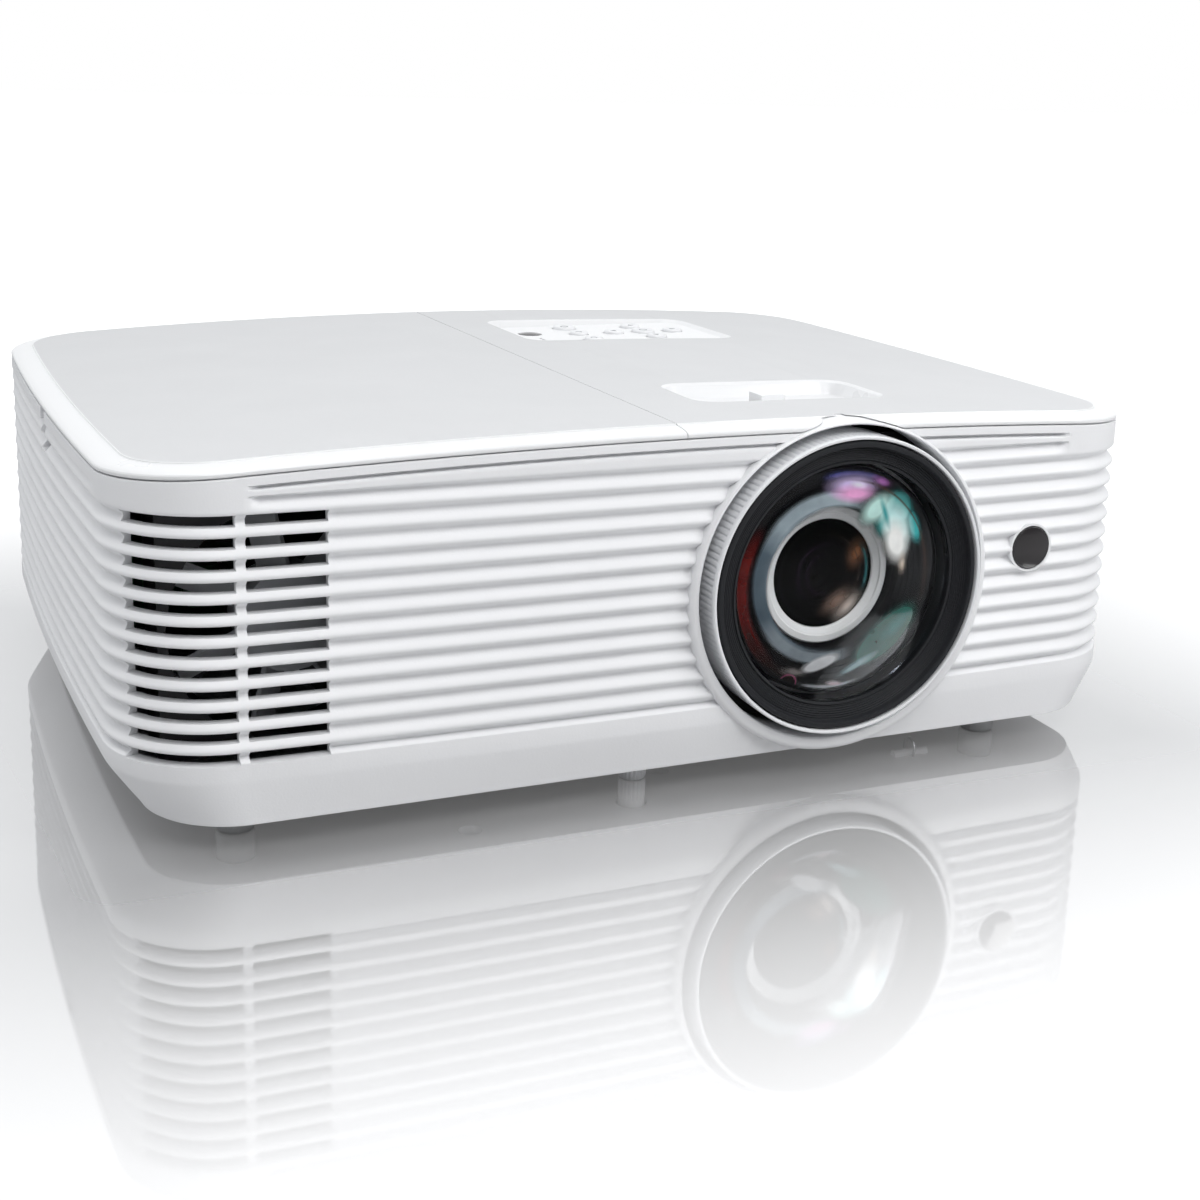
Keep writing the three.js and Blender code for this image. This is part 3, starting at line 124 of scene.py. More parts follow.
# %% [markdown]
# ## Mesh tools
# Most pieces here are either lofts, where one closed outline follows another, or turned pieces, where a
# profile spins round an axis. Both are a grid of points, so one helper joins any grid into faces. Points are
# in millimetres from the middle of the casing, and the piece is made in metres in the frame.


# %% Grids and lofts
def grid_faces(rows, count, wrap_rows=False):
    faces = []
    for row in range(rows if wrap_rows else rows - 1):
        below, above = row * count, (row + 1) % rows * count
        for i in range(count):
            j = (i + 1) % count
            faces.append((below + i, below + j, above + j, above + i))
    return faces


def strip_cap(start, count, upwards_facing):
    faces = []
    for i in range(count // 2):
        face = [i, i + 1, count - i - 1, (count - i) % count]
        face = [start + n for n in dict.fromkeys(face)]
        faces.append(face if upwards_facing else face[::-1])
    return faces


def loft(rings):
    count = len(rings[0])
    faces = grid_faces(len(rings), count)
    faces += strip_cap(0, count, False) + strip_cap((len(rings) - 1) * count, count, True)
    return np.concatenate(rings), faces


# %% [markdown]
# A turned piece is a profile of (radius, distance along the axis). A point on the axis closes the end with
# a fan of triangles, as on a glass or a screw.


# %% Turned pieces
AXES = {
    "x": (np.array([0, 1, 0]), np.array([0, 0, 1]), np.array([1, 0, 0])),
    "y": (np.array([0, 0, 1]), np.array([1, 0, 0]), np.array([0, 1, 0])),
    "z": (np.array([1, 0, 0]), np.array([0, 1, 0]), np.array([0, 0, 1])),
}


def turned(profile, centre, axis="z", steps=96, closed=False):
    u, v, w = AXES[axis]
    points, rows = [np.zeros((0, 3))], []
    total = 0
    for radius, along in profile:
        base = np.array(centre, float) + w * along
        if radius < 1e-6:
            points.append(base[None])
            rows.append([total] * steps)
            total += 1
            continue
        angle = np.linspace(0, 2 * math.pi, steps, endpoint=False)
        points.append(base + radius * (np.cos(angle)[:, None] * u + np.sin(angle)[:, None] * v))
        rows.append(list(range(total, total + steps)))
        total += steps
    faces = []
    pairs = list(zip(rows, rows[1:] + ([rows[0]] if closed else [])))
    for low, high in pairs:
        for i in range(steps):
            j = (i + 1) % steps
            face = list(dict.fromkeys((low[i], low[j], high[j], high[i])))
            if len(face) > 2:
                faces.append(face)
    return np.concatenate(points), faces


# %% [markdown]
# Each finished mesh becomes a named piece that rides on a body of the frame and stands for the frame's
# plain solid. Normals are checked once, and only edges sharper than a chosen angle stay sharp, so
# mouldings look rounded and steps stay crisp.


# %% Pieces
import bmesh


def new_object(name, points, faces):
    mesh = bpy.data.meshes.new(name)
    placed = (np.array(points, float) + (0, middle_y, 0)) * MM
    mesh.from_pydata(placed.tolist(), [], [tuple(face) for face in faces])
    shape = bmesh.new()
    shape.from_mesh(mesh)
    bmesh.ops.recalc_face_normals(shape, faces=shape.faces)
    shape.to_mesh(mesh)
    shape.free()
    made = bpy.data.objects.new(name, mesh)
    bpy.context.scene.collection.objects.link(made)
    return made


def smooth(made, degrees=32):
    made.data.shade_smooth()
    made.data.set_sharp_from_angle(angle=math.radians(degrees))


def finish_piece(made, body, finishes, stands_for=(), degrees=32):
    smooth(made, degrees)
    made.data.materials.clear()
    for finish in finishes:
        made.data.materials.append(finish)
    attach(made, body)
    if stands_for:
        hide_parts(*stands_for)
    print(f"{made.name}: {len(made.data.polygons)} faces")
    return made


def piece(name, shape, body, finish, stands_for=(), degrees=32):
    return finish_piece(new_object(name, *shape), body, [finish], stands_for, degrees)


# %% [markdown]
# Slots, bores and windows are cut with a Boolean. The exact solver is slower than the quick one, but it
# copes with faces that lie in one plane. The cutters are thrown away after the cut.


# %% Cuts and joins
def combine(target, operation, *shapes):
    for shape in shapes:
        tool = new_object("tool", *shape)
        step = target.modifiers.new("combine", "BOOLEAN")
        step.operation, step.solver, step.object = operation, "EXACT", tool
        graph = bpy.context.evaluated_depsgraph_get()
        result = bpy.data.meshes.new_from_object(target.evaluated_get(graph))
        target.modifiers.clear()
        old, target.data = target.data, result
        bpy.data.meshes.remove(old)
        bpy.data.objects.remove(tool)
    return target


def joined(*shapes):
    points, faces, start = [], [], 0
    for some, their in shapes:
        points.append(np.array(some, float))
        faces += [[start + n for n in face] for face in their]
        start += len(some)
    return np.concatenate(points), faces


def block(low, high):
    corners = [(x, y, z) for z in (low[2], high[2]) for y in (low[1], high[1]) for x in (low[0], high[0])]
    return corners, [(0, 2, 3, 1), (4, 5, 7, 6), (0, 1, 5, 4), (2, 6, 7, 3), (0, 4, 6, 2), (1, 3, 7, 5)]


def prism(flat, low, high):
    flat = np.array(flat, float)
    rings = [np.column_stack([flat, np.full(len(flat), z)]) for z in (low, high)]
    count = len(flat)
    faces = grid_faces(2, count) + [list(range(count))[::-1], list(range(count, 2 * count))]
    return np.concatenate(rings), faces


# %% [markdown]
# ## Finishes
# Moulded plastic is never one flat colour. It has a very fine grain from the mould, a slow drift of tone,
# painted shade that darkens its grooves, and edges that hands have polished. One recipe with a few settings
# makes all the plastics, so that they look like one family.


# %% Node helpers
class Tree:
    def __init__(self, name):
        self.material = bpy.data.materials.new(name)
        self.material.use_nodes = True
        self.nodes = self.material.node_tree.nodes
        self.links = self.material.node_tree.links
        self.shader = self.nodes["Principled BSDF"]
        self.place = self.add("ShaderNodeTexCoord").outputs["Object"]

    def add(self, kind, inputs=(), **settings):
        node = self.nodes.new(kind)
        for key, value in settings.items():
            setattr(node, key, value)
        for key, value in dict(inputs).items():
            if isinstance(value, bpy.types.NodeSocket):
                self.links.new(value, node.inputs[key])
            else:
                node.inputs[key].default_value = value
        return node

    def noise(self, per_metre, detail=3.0, stretch=(1, 1, 1)):
        where = self.add("ShaderNodeMapping", {"Vector": self.place, "Scale": stretch}).outputs[0]
        made = self.add("ShaderNodeTexNoise", {"Vector": where, "Scale": per_metre, "Detail": detail})
        return made.outputs["Factor" if "Factor" in made.outputs else "Fac"]

    def span(self, value, low, high, to_low, to_high):
        made = self.add("ShaderNodeMapRange", {"Value": value, 1: low, 2: high, 3: to_low, 4: to_high})
        return made.outputs[0]

    def mix(self, amount, first, second):
        made = self.add("ShaderNodeMix", data_type="RGBA")
        for socket, value in ((0, amount), (6, first), (7, second)):
            if isinstance(value, bpy.types.NodeSocket):
                self.links.new(value, made.inputs[socket])
            else:
                made.inputs[socket].default_value = value if socket == 0 else (*value[:3], 1)
        return made.outputs[2]

    def bump(self, height, depth_mm, strength=1.0, over=None):
        settings = {"Height": height, "Distance": depth_mm * MM, "Strength": strength}
        made = self.add("ShaderNodeBump", settings)
        if over is not None:
            self.links.new(over, made.inputs["Normal"])
        return made.outputs[0]

    def put(self, socket, value):
        if isinstance(value, bpy.types.NodeSocket):
            self.links.new(value, self.shader.inputs[socket])
        else:
            self.shader.inputs[socket].default_value = value


# %% The plastic recipe
def plastic(name, colour, roughness, grain=1600, relief=0.03, groove_shade=0.10, polish=0.05, coat=0.0):
    tree = Tree(name)
    colour = np.array(colour)
    drift = tree.noise(14, 2.0)
    body = tree.mix(drift, colour * 0.975, np.minimum(colour * 1.02, 1))
    speck = tree.span(tree.noise(5200, 1.0), 0.62, 0.80, 0, 0.25)
    body = tree.mix(speck, body, colour * 0.93)
    edge = tree.add("ShaderNodeNewGeometry").outputs["Pointiness"]
    # Painted shade: where the surface folds in, as in grooves and creases, the colour is darkened.
    body = tree.mix(tree.span(edge, 0.50, 0.43, 0, groove_shade), body, colour * np.array([0.62, 0.62, 0.63]))
    body = tree.mix(tree.span(edge, 0.52, 0.60, 0, polish), body, np.minimum(colour * 1.15 + 0.02, 1))
    tree.put("Base Color", body)
    rough = tree.span(tree.noise(38, 4.0), 0.3, 0.7, roughness * 0.9, roughness * 1.12)
    tree.put("Roughness", rough)
    fine = tree.bump(tree.noise(grain, 2.0), relief)
    tree.put("Normal", tree.bump(tree.noise(9, 1.0), 0.06, 0.4, over=fine))
    tree.shader.inputs["Coat Weight"].default_value = coat
    tree.shader.inputs["Coat Roughness"].default_value = 0.12
    return tree.material


# The shade setting of each plastic is the amount of painted shade in its grooves.
casing_white = plastic("casing_white", (0.86, 0.865, 0.88), 0.42, groove_shade=0.35)
# Painted shade: the lid top's colour is darker than the lid's polished white, against the strong light from
# above.
lid_matte_shaded = plastic("lid_matte_shaded", (0.63, 0.635, 0.645), 0.58, grain=1100, relief=0.05, groove_shade=0.0)
lid_gloss = plastic("lid_gloss", (0.84, 0.845, 0.855), 0.30, relief=0.012, coat=0.25)
key_grey = plastic("key_grey", (0.82, 0.825, 0.84), 0.46, relief=0.04)
plate_white = plastic("plate_white", (0.86, 0.865, 0.875), 0.38)
post_grey = plastic("post_grey", (0.42, 0.43, 0.45), 0.55)
charcoal = plastic("charcoal", (0.016, 0.017, 0.020), 0.55, grain=2200, relief=0.03, polish=0.12)
charcoal.node_tree.nodes["Principled BSDF"].inputs["Specular IOR Level"].default_value = 0.25
black_plastic = plastic("black_plastic", (0.018, 0.018, 0.020), 0.42, polish=0.15)
ring_grey = plastic("ring_grey", (0.80, 0.81, 0.83), 0.30, groove_shade=0.5)
mark_grey = plastic("mark_grey", (0.30, 0.31, 0.33), 0.5)
pad_rubber = plastic("pad_rubber", (0.42, 0.425, 0.43), 0.82, grain=900, relief=0.10)
print(len(bpy.data.materials), "materials")

# %% [markdown]
# ## The outline of the casing
# Seen from above the casing is four shallow arcs with rounded corners. An arc that passes through known
# points has a known centre, and the corner's centre lies where it touches both arcs. Moving a point inwards
# along its own normal keeps a rib's depth even all the way round the corner.

# %% Outline
SIDE_BOW, FRONT_BOW, CORNER = 3.2, 3.3, 29.8
STEPS = ((60, 60, 180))


def front_half(plan, inset):
    width, depth, side_bow, front_bow, corner = plan
    chord_x, chord_y = width - side_bow, depth - front_bow
    side_radius = (chord_y**2 + side_bow**2) / (2 * side_bow)
    front_radius = (chord_x**2 + front_bow**2) / (2 * front_bow)
    side_x, front_y = side_radius - width, front_radius - depth
    a, b = side_radius - corner, front_radius - corner
    span = math.hypot(side_x, front_y)
    along = (a * a - b * b + span * span) / (2 * span)
    across = math.sqrt(max(a * a - along * along, 0))
    ux, uy = -side_x / span, front_y / span
    options = [(side_x + ux * along - uy * across * s, uy * along + ux * across * s) for s in (1, -1)]
    cx, cy = min(options, key=sum)
    side_end = math.atan2(cy, cx - side_x) % (2 * math.pi)
    front_start = math.atan2(cy - front_y, cx) % (2 * math.pi)
    points = []
    for x, y, radius, start, end, steps in (
        (side_x, 0, side_radius - inset, math.pi, side_end, STEPS[0]),
        (cx, cy, corner - inset, side_end, front_start, STEPS[1]),
        (0, front_y, front_radius - inset, front_start, 1.5 * math.pi, STEPS[2] // 2),
    ):
        for i in range(steps):
            angle = start + (end - start) * i / steps
            points.append((x + radius * math.cos(angle), y + radius * math.sin(angle)))
    points.append((0, inset - depth))
    return points + [(-x, y) for x, y in points[-2::-1]]


def outline(plan, inset=0):
    near = front_half(plan, inset)
    return np.array(near + [(x, -y) for x, y in near[-2:0:-1]])


CASING = (half_width, half_depth, SIDE_BOW, FRONT_BOW, CORNER)
base = outline(CASING)
inwards = outline(CASING, 1) - base
print(len(base), "points round the casing")

# %% [markdown]
# ## The ribbed housing
# The real housing is one moulding with lapped ribs that run round the front and both sides. Each rib starts
# in a groove, swells quickly to its crest and falls back slowly to the groove above, like weatherboard. A
# loft of some hundred outlines makes it, with the depth of every point set by where it stands: the top
# grooves stop short of the corners, and all of them fade out near the back.

# %% Rib heights and depths
CROWN = 2.0e-4
WALL_TOP, FOOT_HEIGHT = lid_top - 2.9, node_box("lower_housing")[0].z
PITCH_MM, RIB_DEPTH = 5.62, 2.0
TOP_GROOVE, RIB_COUNT = WALL_TOP - 8.78, 12
CREST = 0.40
RIB = []
for t in (0, 0.05, 0.11, 0.18, 0.25, 0.32, 0.40, 0.50, 0.60, 0.70, 0.80, 0.88, 0.95):
    swing = t / CREST if t < CREST else (1 - t) / (1 - CREST)
    RIB.append((t, (1 + math.cos(math.pi * swing)) / 2))


def ease(value, low, high):
    t = np.clip((value - low) / (high - low), 0, 1)
    return t * t * (3 - 2 * t)


bx, by = base[:, 0], base[:, 1]
crown_drop = CROWN * bx**2
across_front = ease(-np.abs(bx), -123, -120.5) * (by < 0)
along_side = ease(by, -92, -80) * ease(-by, -97, -90)
fade_back = ease(-by, -97, -90)
behind_notch = ease(by, -6, -2)
top_mask = np.maximum(across_front, along_side * (0.45 + 0.55 * behind_notch))


# %% Outer surface
def ring(z, depth):
    flat = base + inwards * np.broadcast_to(depth, (len(base),))[:, None]
    return np.column_stack([flat, np.broadcast_to(z, (len(base),))])


def skirt_ring(share, z):
    narrow = outline((half_width - 8.5, half_depth - 3, SIDE_BOW, 0.4, CORNER - 5.5))
    flat = narrow + (base - narrow) * share
    return np.column_stack([flat, np.full(len(flat), z)])


SKIRT = [(-0.10, 0.0), (-0.03, 0.3), (0.02, 1.0), (0.10, 2.0), (0.32, 4.4), (0.56, 7.2), (0.78, 9.8),
         (0.92, 11.6), (1.0, 13.0)]
outer = [skirt_ring(share, FOOT_HEIGHT + rise) for share, rise in SKIRT]
lowest = TOP_GROOVE - RIB_COUNT * PITCH_MM
outer += [ring(lowest - 1.4, 0), ring(lowest - 1.0, 0.25 * fade_back), ring(lowest - 0.5, 1.2 * fade_back)]
for row in range(RIB_COUNT, 0, -1):
    groove = TOP_GROOVE - row * PITCH_MM
    depth_here = RIB_DEPTH * fade_back
    depth_above = RIB_DEPTH * (fade_back if row > 1 else top_mask)
    for t, share in RIB:
        outer.append(ring(groove + t * PITCH_MM, share * (depth_here if t <= CREST else depth_above)))
print(len(outer), "outlines up to the top groove at", round(TOP_GROOVE, 2))

# %% [markdown]
# Above the top groove comes a long wedge of a rib, cut off from the lid by a fine arched groove that
# follows the lid's crown. The levels there are spread between the straight groove and the arch.

# %% Top rib, arched groove and rim
arch = TOP_GROOVE + PITCH_MM - crown_drop
rim = WALL_TOP - 0.3 - crown_drop
wedge = np.maximum(arch - 0.75 - TOP_GROOVE, 0.05)
for t, share in RIB[:-1]:
    outer.append(ring(TOP_GROOVE + t * wedge, share * RIB_DEPTH * top_mask * (t <= CREST)))
for lift, share in ((-0.62, 0.1), (-0.5, 0.45), (-0.42, 1), (0.42, 1), (0.5, 0.3), (0.62, 0)):
    outer.append(ring(np.maximum(arch + lift, TOP_GROOVE + 0.2 + 0.1 * lift), share * 1.7 * across_front))
outer += [ring(rim - 0.5, 0), ring(rim - 0.12, 0.08), ring(rim, 0.45)]
INNER = 4.0
FLOOR_TOP = FOOT_HEIGHT + 2.5
low_plan = (half_width - 7.5, half_depth - 3, SIDE_BOW, FRONT_BOW, CORNER - 5.5)
low_inner = outline(low_plan, INNER)
inner = [ring(level_z, INNER) for level_z in (rim, 60.0, FLOOR_TOP + 12.8)]
inner.append(np.column_stack([low_inner, np.full(len(base), FLOOR_TOP)]))
housing = new_object("housing", *loft(outer + inner))
print("housing before cuts:", len(housing.data.polygons), "faces")

# %% [markdown]
# ## Openings in the housing
# The lens well, the receiver's bore, the vents, the intake and the windows at the back all go through the
# wall. Tools that don't touch each other can be joined and cut in one pass, which saves time.

# %% Lens well and vents
WELL = ring_radius + 2.5
HOOP, HOOP_Z = WELL + 2.4, lens_z - 1.7
hole = turned([(0, -140), (WELL + 0.6, -140), (WELL + 0.6, -100), (0, -100)], (lens_x, 0, lens_z), "y", 128)
window_low, window_high = node_box("receiver_window")
window_x, window_z = (window_low.x + window_high.x) / 2, (window_low.z + window_high.z) / 2
window_radius = (window_high.x - window_low.x) / 2
bore = turned([(0, -140), (window_radius + 0.2, -140), (window_radius + 0.2, -110), (0, -110)],
              (window_x, 0, window_z), "y", 72)
VENT_HALF, BAR_AT, BAR_HALF = 1.6, 33.05 - half_width, 1.25
vent_left, vent_right = 9.4 - half_width, 55 - half_width
corner_flat = [(vent_left - 7.5, front + 15.5), (vent_left - 4.5, front + 6.0),
               (BAR_AT - BAR_HALF, front - 5), (BAR_AT - BAR_HALF, front + 12), (vent_left + 9, front + 24)]
slots = []
for row in range(1, RIB_COUNT + 1):
    z = TOP_GROOVE - row * PITCH_MM
    slots.append(prism(corner_flat, z - VENT_HALF, z + VENT_HALF))
    slots.append(block((BAR_AT + BAR_HALF, front - 5, z - VENT_HALF),
                       (vent_right, front + 12, z + VENT_HALF)))
print(len(slots), "vent slots")

# %% Intake, rear windows, notch and the bores under the floor
fan_low, fan_high = node_box("side_fan_frame")
fan_y, fan_z = (fan_low.y + fan_high.y) / 2, (fan_low.z + fan_high.z) / 2
for row in range(7):
    z = TOP_GROOVE - round((TOP_GROOVE - fan_z - (row - 3) * PITCH_MM) / PITCH_MM) * PITCH_MM
    for side in (-15, 15):
        slots.append(block((half_width - 12, fan_y + side - 12, z - 1.3),
                           (half_width + 5, fan_y + side + 12, z + 1.3)))
panel_low, panel_high = node_box("rear_panel")
inlet_low, inlet_high = node_box("power_inlet")
screw_low, screw_high = node_box("cover_screw")
windows = [
    block((panel_low.x - 0.3, 105, panel_low.z - 0.3), (panel_high.x + 0.3, 130, panel_high.z + 0.3)),
    block((inlet_low.x - 0.3, 105, inlet_low.z - 0.3), (inlet_high.x + 0.3, 130, inlet_high.z + 0.3)),
    block((-half_width - 5, screw_low.y - 0.3, (screw_low.z + screw_high.z) / 2 - 4.5),
          (2.6 - half_width, -3, 110)),
]
FEET = ("front_foot", "rear_foot_left", "rear_foot_right")
SCREWS = tuple(f"housing_screw_{number}" for number in (1, 2, 3, 4))
for name in FEET + SCREWS:
    low, high = node_box(name)
    radius = (high.x - low.x) / 2 + (0.5 if name in FEET else 0.3)
    centre = ((low.x + high.x) / 2, (low.y + high.y) / 2, 0)
    bore_top = FLOOR_TOP - 0.4
    windows.append(turned([(0, 8), (radius, 8), (radius, bore_top), (0, bore_top)], centre, "z", 48))
collar_radius, collar_front = window_radius + 0.9, window_low.y - 0.25
collar_profile = [(0, collar_front), (collar_radius, collar_front),
                  (collar_radius, front + 6), (0, front + 6)]
collar = turned(collar_profile, (window_x, 0, window_z), "y", 72)
combine(housing, "UNION", collar)
combine(housing, "DIFFERENCE", joined(hole, bore, *slots, *windows))
print("housing after cuts:", len(housing.data.polygons), "faces")

# %% [markdown]
# ## The hoop round the lens
# A white hoop frames the lens. It isn't even: thin over the top and thick and rounded underneath, because
# its outer circle sits a little lower than its inner one. Joining it to the wall lets the grooves run
# straight into its flank.

# %% Hoop
HOOP_TIP, HOOP_BACK = front - 1.5, front + 10


def hoop_shape(steps=180):
    angle = np.linspace(0, 2 * math.pi, steps, endpoint=False)
    across, rise = np.cos(angle), np.sin(angle)
    inner_edge = np.column_stack([lens_x + WELL * across, lens_z + WELL * rise])
    outer_edge = np.column_stack([lens_x + HOOP * across, HOOP_Z + HOOP * rise])
    thick = np.linalg.norm(outer_edge - inner_edge, axis=1)[:, None]
    out = (outer_edge - inner_edge) / thick
    radius = np.minimum(2.3, 0.55 * thick)
    rows = []
    for share in (0, 0.25, 0.5, 0.75, 1):
        turn = share * math.pi / 2
        flat = outer_edge - out * radius * (1 - math.cos(turn))
        rows.append((flat, HOOP_TIP + radius[:, 0] * (1 - math.sin(turn))))
    rows.append((inner_edge + out * 0.35, np.full(steps, HOOP_TIP)))
    rows.append((inner_edge, np.full(steps, HOOP_TIP + 0.35)))
    rows.append((inner_edge, np.full(steps, HOOP_BACK)))
    rows.append((outer_edge, np.full(steps, HOOP_BACK)))
    rings = [np.column_stack([flat[:, 0], deep, flat[:, 1]]) for flat, deep in rows]
    return np.concatenate(rings), grid_faces(len(rings), steps, wrap_rows=True)


combine(housing, "UNION", hoop_shape())
finish_piece(housing, "chassis", [casing_white], ["lower_housing"], 38)
even = housing.modifiers.new("even shading", "WEIGHTED_NORMAL")
even.weight, even.keep_sharp = 60, True

# %% [markdown]
# ## The lid
# The lid is a shallow crowned tray: a matt grey-white top, a fine step, and a bright polished bevel all
# round. The top's colour is made darker than the bevel's as painted shade, against the strong light from
# above.
# The bevel comes from a few nested outlines, each a little higher and further in. The top follows
# the crown, so strips across the depth are enough.

# %% Whole lid
BEVEL = [(0.6, 0), (0.25, 0.12), (0.06, 0.35), (0, 0.7), (0.05, 1.05), (0.3, 1.4), (0.9, 1.72), (1.8, 1.98),
         (3.4, 2.22), (5.2, 2.38), (6.75, 2.48), (6.9, 2.52), (7.05, 2.82), (7.3, 2.9)]
LIP, TONGUE = 2.0, 5.0


def lid_ring(inset, z, drop=True):
    flat = base + inwards * inset
    return np.column_stack([flat, z - (CROWN * flat[:, 0] ** 2 if drop else 0)])


inner_edge = INNER + 0.3
rings = [lid_ring(inner_edge + LIP, WALL_TOP + 0.4), lid_ring(inner_edge + LIP, WALL_TOP - TONGUE),
         lid_ring(inner_edge, WALL_TOP - TONGUE), lid_ring(inner_edge, WALL_TOP)]
rings += [lid_ring(inset, WALL_TOP + rise) for inset, rise in BEVEL]
lid_shape = loft(rings)
print("lid:", len(lid_shape[1]), "faces, split at x", round(cover_high.x / MM, 2))

# %% [markdown]
# ## Recesses in the lid
# The focus lever and the keypad each lie in a shallow tray. Their walls slope a little and meet the top
# in a small round, so light catches the edge. Each recess is one lofted tool with rounded corners.


# %% Recess tools
def rounded(x, y, width, depth, radius, steps=12):
    points = []
    for cx, cy, start in ((1, -1, -90), (1, 1, 0), (-1, 1, 90), (-1, -1, 180)):
        for i in range(steps + 1):
            angle = math.radians(start + 90 * i / steps)
            points.append((x + cx * (width / 2 - radius) + radius * math.cos(angle),
                           y + cy * (depth / 2 - radius) + radius * math.sin(angle)))
    return np.array(points)


def stacked(x, y, width, depth, corner, levels):
    rings = []
    for grow, z in levels:
        flat = rounded(x, y, width + 2 * grow, depth + 2 * grow, max(corner + grow, 0.5))
        height = z(flat[:, 0]) if callable(z) else np.full(len(flat), z)
        rings.append(np.column_stack([flat, height]))
    count = len(rings[0])
    faces = grid_faces(len(rings), count)
    faces += [list(range(count))[::-1], [(len(rings) - 1) * count + i for i in range(count)]]
    return np.concatenate(rings), faces


def top_at(x):
    return lid_top - CROWN * np.square(x)


plate_low, plate_high = node_box("keypad_plate")
pad_x, pad_y = (plate_low.x + plate_high.x) / 2, (plate_low.y + plate_high.y) / 2
pad_floor = plate_low.z - 0.3
KEYPAD = (pad_x, pad_y, 80, 50, 7)
FOCUS = (lens_x + 2, front + 49.5, 64, 31, 7)
focus_floor = top_at(FOCUS[0]) - 5.2


def recess_tool(spec, floor):
    levels = [(-3.2, floor), (-2.2, floor + 0.25), (-1.6, floor + 0.9), (-0.5, lambda x: top_at(x) - 0.7),
              (0.0, lambda x: top_at(x) - 0.22), (0.6, lambda x: top_at(x) + 0.02), (0.7, lid_top + 4)]
    return stacked(*spec, levels)


def cup(spec, floor):
    return stacked(*spec, [(2, floor - 1.8), (2, top_at(spec[0] + spec[2] / 2) - 0.7)])


print("keypad floor", round(pad_floor, 2), "focus floor", round(focus_floor, 2))

# %% Cut the lid into its two pieces
seam_low, seam_high = cover_high.x / MM, lid_low.x / MM
lamp_cover = new_object("lamp_lid", *lid_shape)
combine(lamp_cover, "INTERSECT", block((-200, -200, 80), (seam_low, 200, 120)))
main_lid = new_object("main_lid", *lid_shape)
combine(main_lid, "INTERSECT", block((seam_high, -200, 80), (200, 200, 120)))
combine(main_lid, "UNION", joined(cup(KEYPAD, pad_floor), cup(FOCUS, focus_floor)))
sleeve_low, sleeve_high = node_box("focus_sleeve")
lever_y = front + 49
relief = turned([(0, -140), (HOOP + 0.3, -140), (HOOP + 0.3, HOOP_BACK + 0.3), (0, HOOP_BACK + 0.3)],
                (lens_x, 0, HOOP_Z), "y", 160)
lever_slot = block((lens_x - 14.5, lever_y - 5, focus_floor - 6),
                   (lens_x + 14.5, lever_y + 5, focus_floor + 0.5))
key_bores = []
KEYS = ["power", "menu", "source", "up", "down", "left", "right", "enter"]
for key in KEYS:
    low, high = node_box(key + "_button")
    centre, radius = ((low.x + high.x) / 2, (low.y + high.y) / 2, 0), (high.x - low.x) / 2 + 0.4
    key_bores.append(turned([(0, pad_floor - 4), (radius, pad_floor - 4), (radius, pad_floor + 0.5),
                             (0, pad_floor + 0.5)], centre, "z", 48))
combine(main_lid, "DIFFERENCE", joined(recess_tool(KEYPAD, pad_floor), recess_tool(FOCUS, focus_floor)),
        joined(relief, lever_slot, *key_bores))
print("lid pieces cut")


# %% [markdown]
# The top is matt and everything else on the lid is polished, so each face is given its finish by where it
# lies: on the crown, or off it. The matt finish also carries the top's painted shade, a darker colour.

# %% Finish the lid
def finish_lid(made, stands_for):
    body = "lamp_cover" if made.name == "lamp_lid" else "chassis"
    finish_piece(made, body, [lid_matte_shaded, lid_gloss], [stands_for], 24)
    for face in made.data.polygons:
        x, y, z = face.center / MM
        matte = face.normal.z > 0.98 and abs(z - top_at(x)) < 0.03
        face.material_index = 0 if matte else 1
    even = made.modifiers.new("even shading", "WEIGHTED_NORMAL")
    even.weight, even.keep_sharp = 100, True


finish_lid(lamp_cover, "lamp_cover")
finish_lid(main_lid, "top_cover")

# %% [markdown]
# ## The lens
# Looking in from the front: a knurled focus ring, a dark bezel that slopes inwards, the front glass, and
# behind it a black throat with a pale ring round the inner glass.

# %% Focus ring
RING_FRONT, RING_BACK = ring_low.y, ring_high.y
sleeve_radius = (sleeve_high.x - sleeve_low.x) / 2


def knurled(profile, centre, teeth, depth, rows, steps_per_tooth=4):
    steps = teeth * steps_per_tooth
    points, faces = turned(profile, centre, "y", steps, closed=True)
    points = points.reshape(len(profile), steps, 3)
    middle = np.array([centre[0], 0, centre[2]])
    wave = np.tile([0, 0.15, 1, 0.15][:steps_per_tooth], teeth)[None, :, None]
    spokes = (points[rows] - middle) * np.array([1, 0, 1])
    points[rows] -= spokes / np.linalg.norm(spokes, axis=2, keepdims=True) * depth * wave
    return points.reshape(-1, 3), faces


R = ring_radius
profile = [(R - 1.1, RING_FRONT + 0.5), (R - 0.95, RING_FRONT + 0.12), (R - 0.7, RING_FRONT),
           (R - 0.35, RING_FRONT),
           (R - 0.1, RING_FRONT + 0.15), (R, RING_FRONT + 0.5), (R, RING_FRONT + 1.3), (R, RING_FRONT + 1.5),
           (R, RING_FRONT + 9.5), (R - 0.1, RING_BACK), (sleeve_radius + 0.3, RING_BACK),
           (sleeve_radius + 0.3, RING_BACK - 2), (R - 1.1, RING_BACK - 2)]
piece("knurled_ring", knurled(profile, (lens_x, 0, lens_z), 150, 0.55, [7, 8]), "focus_group",
      ring_grey, ["focus_ring"], 30)

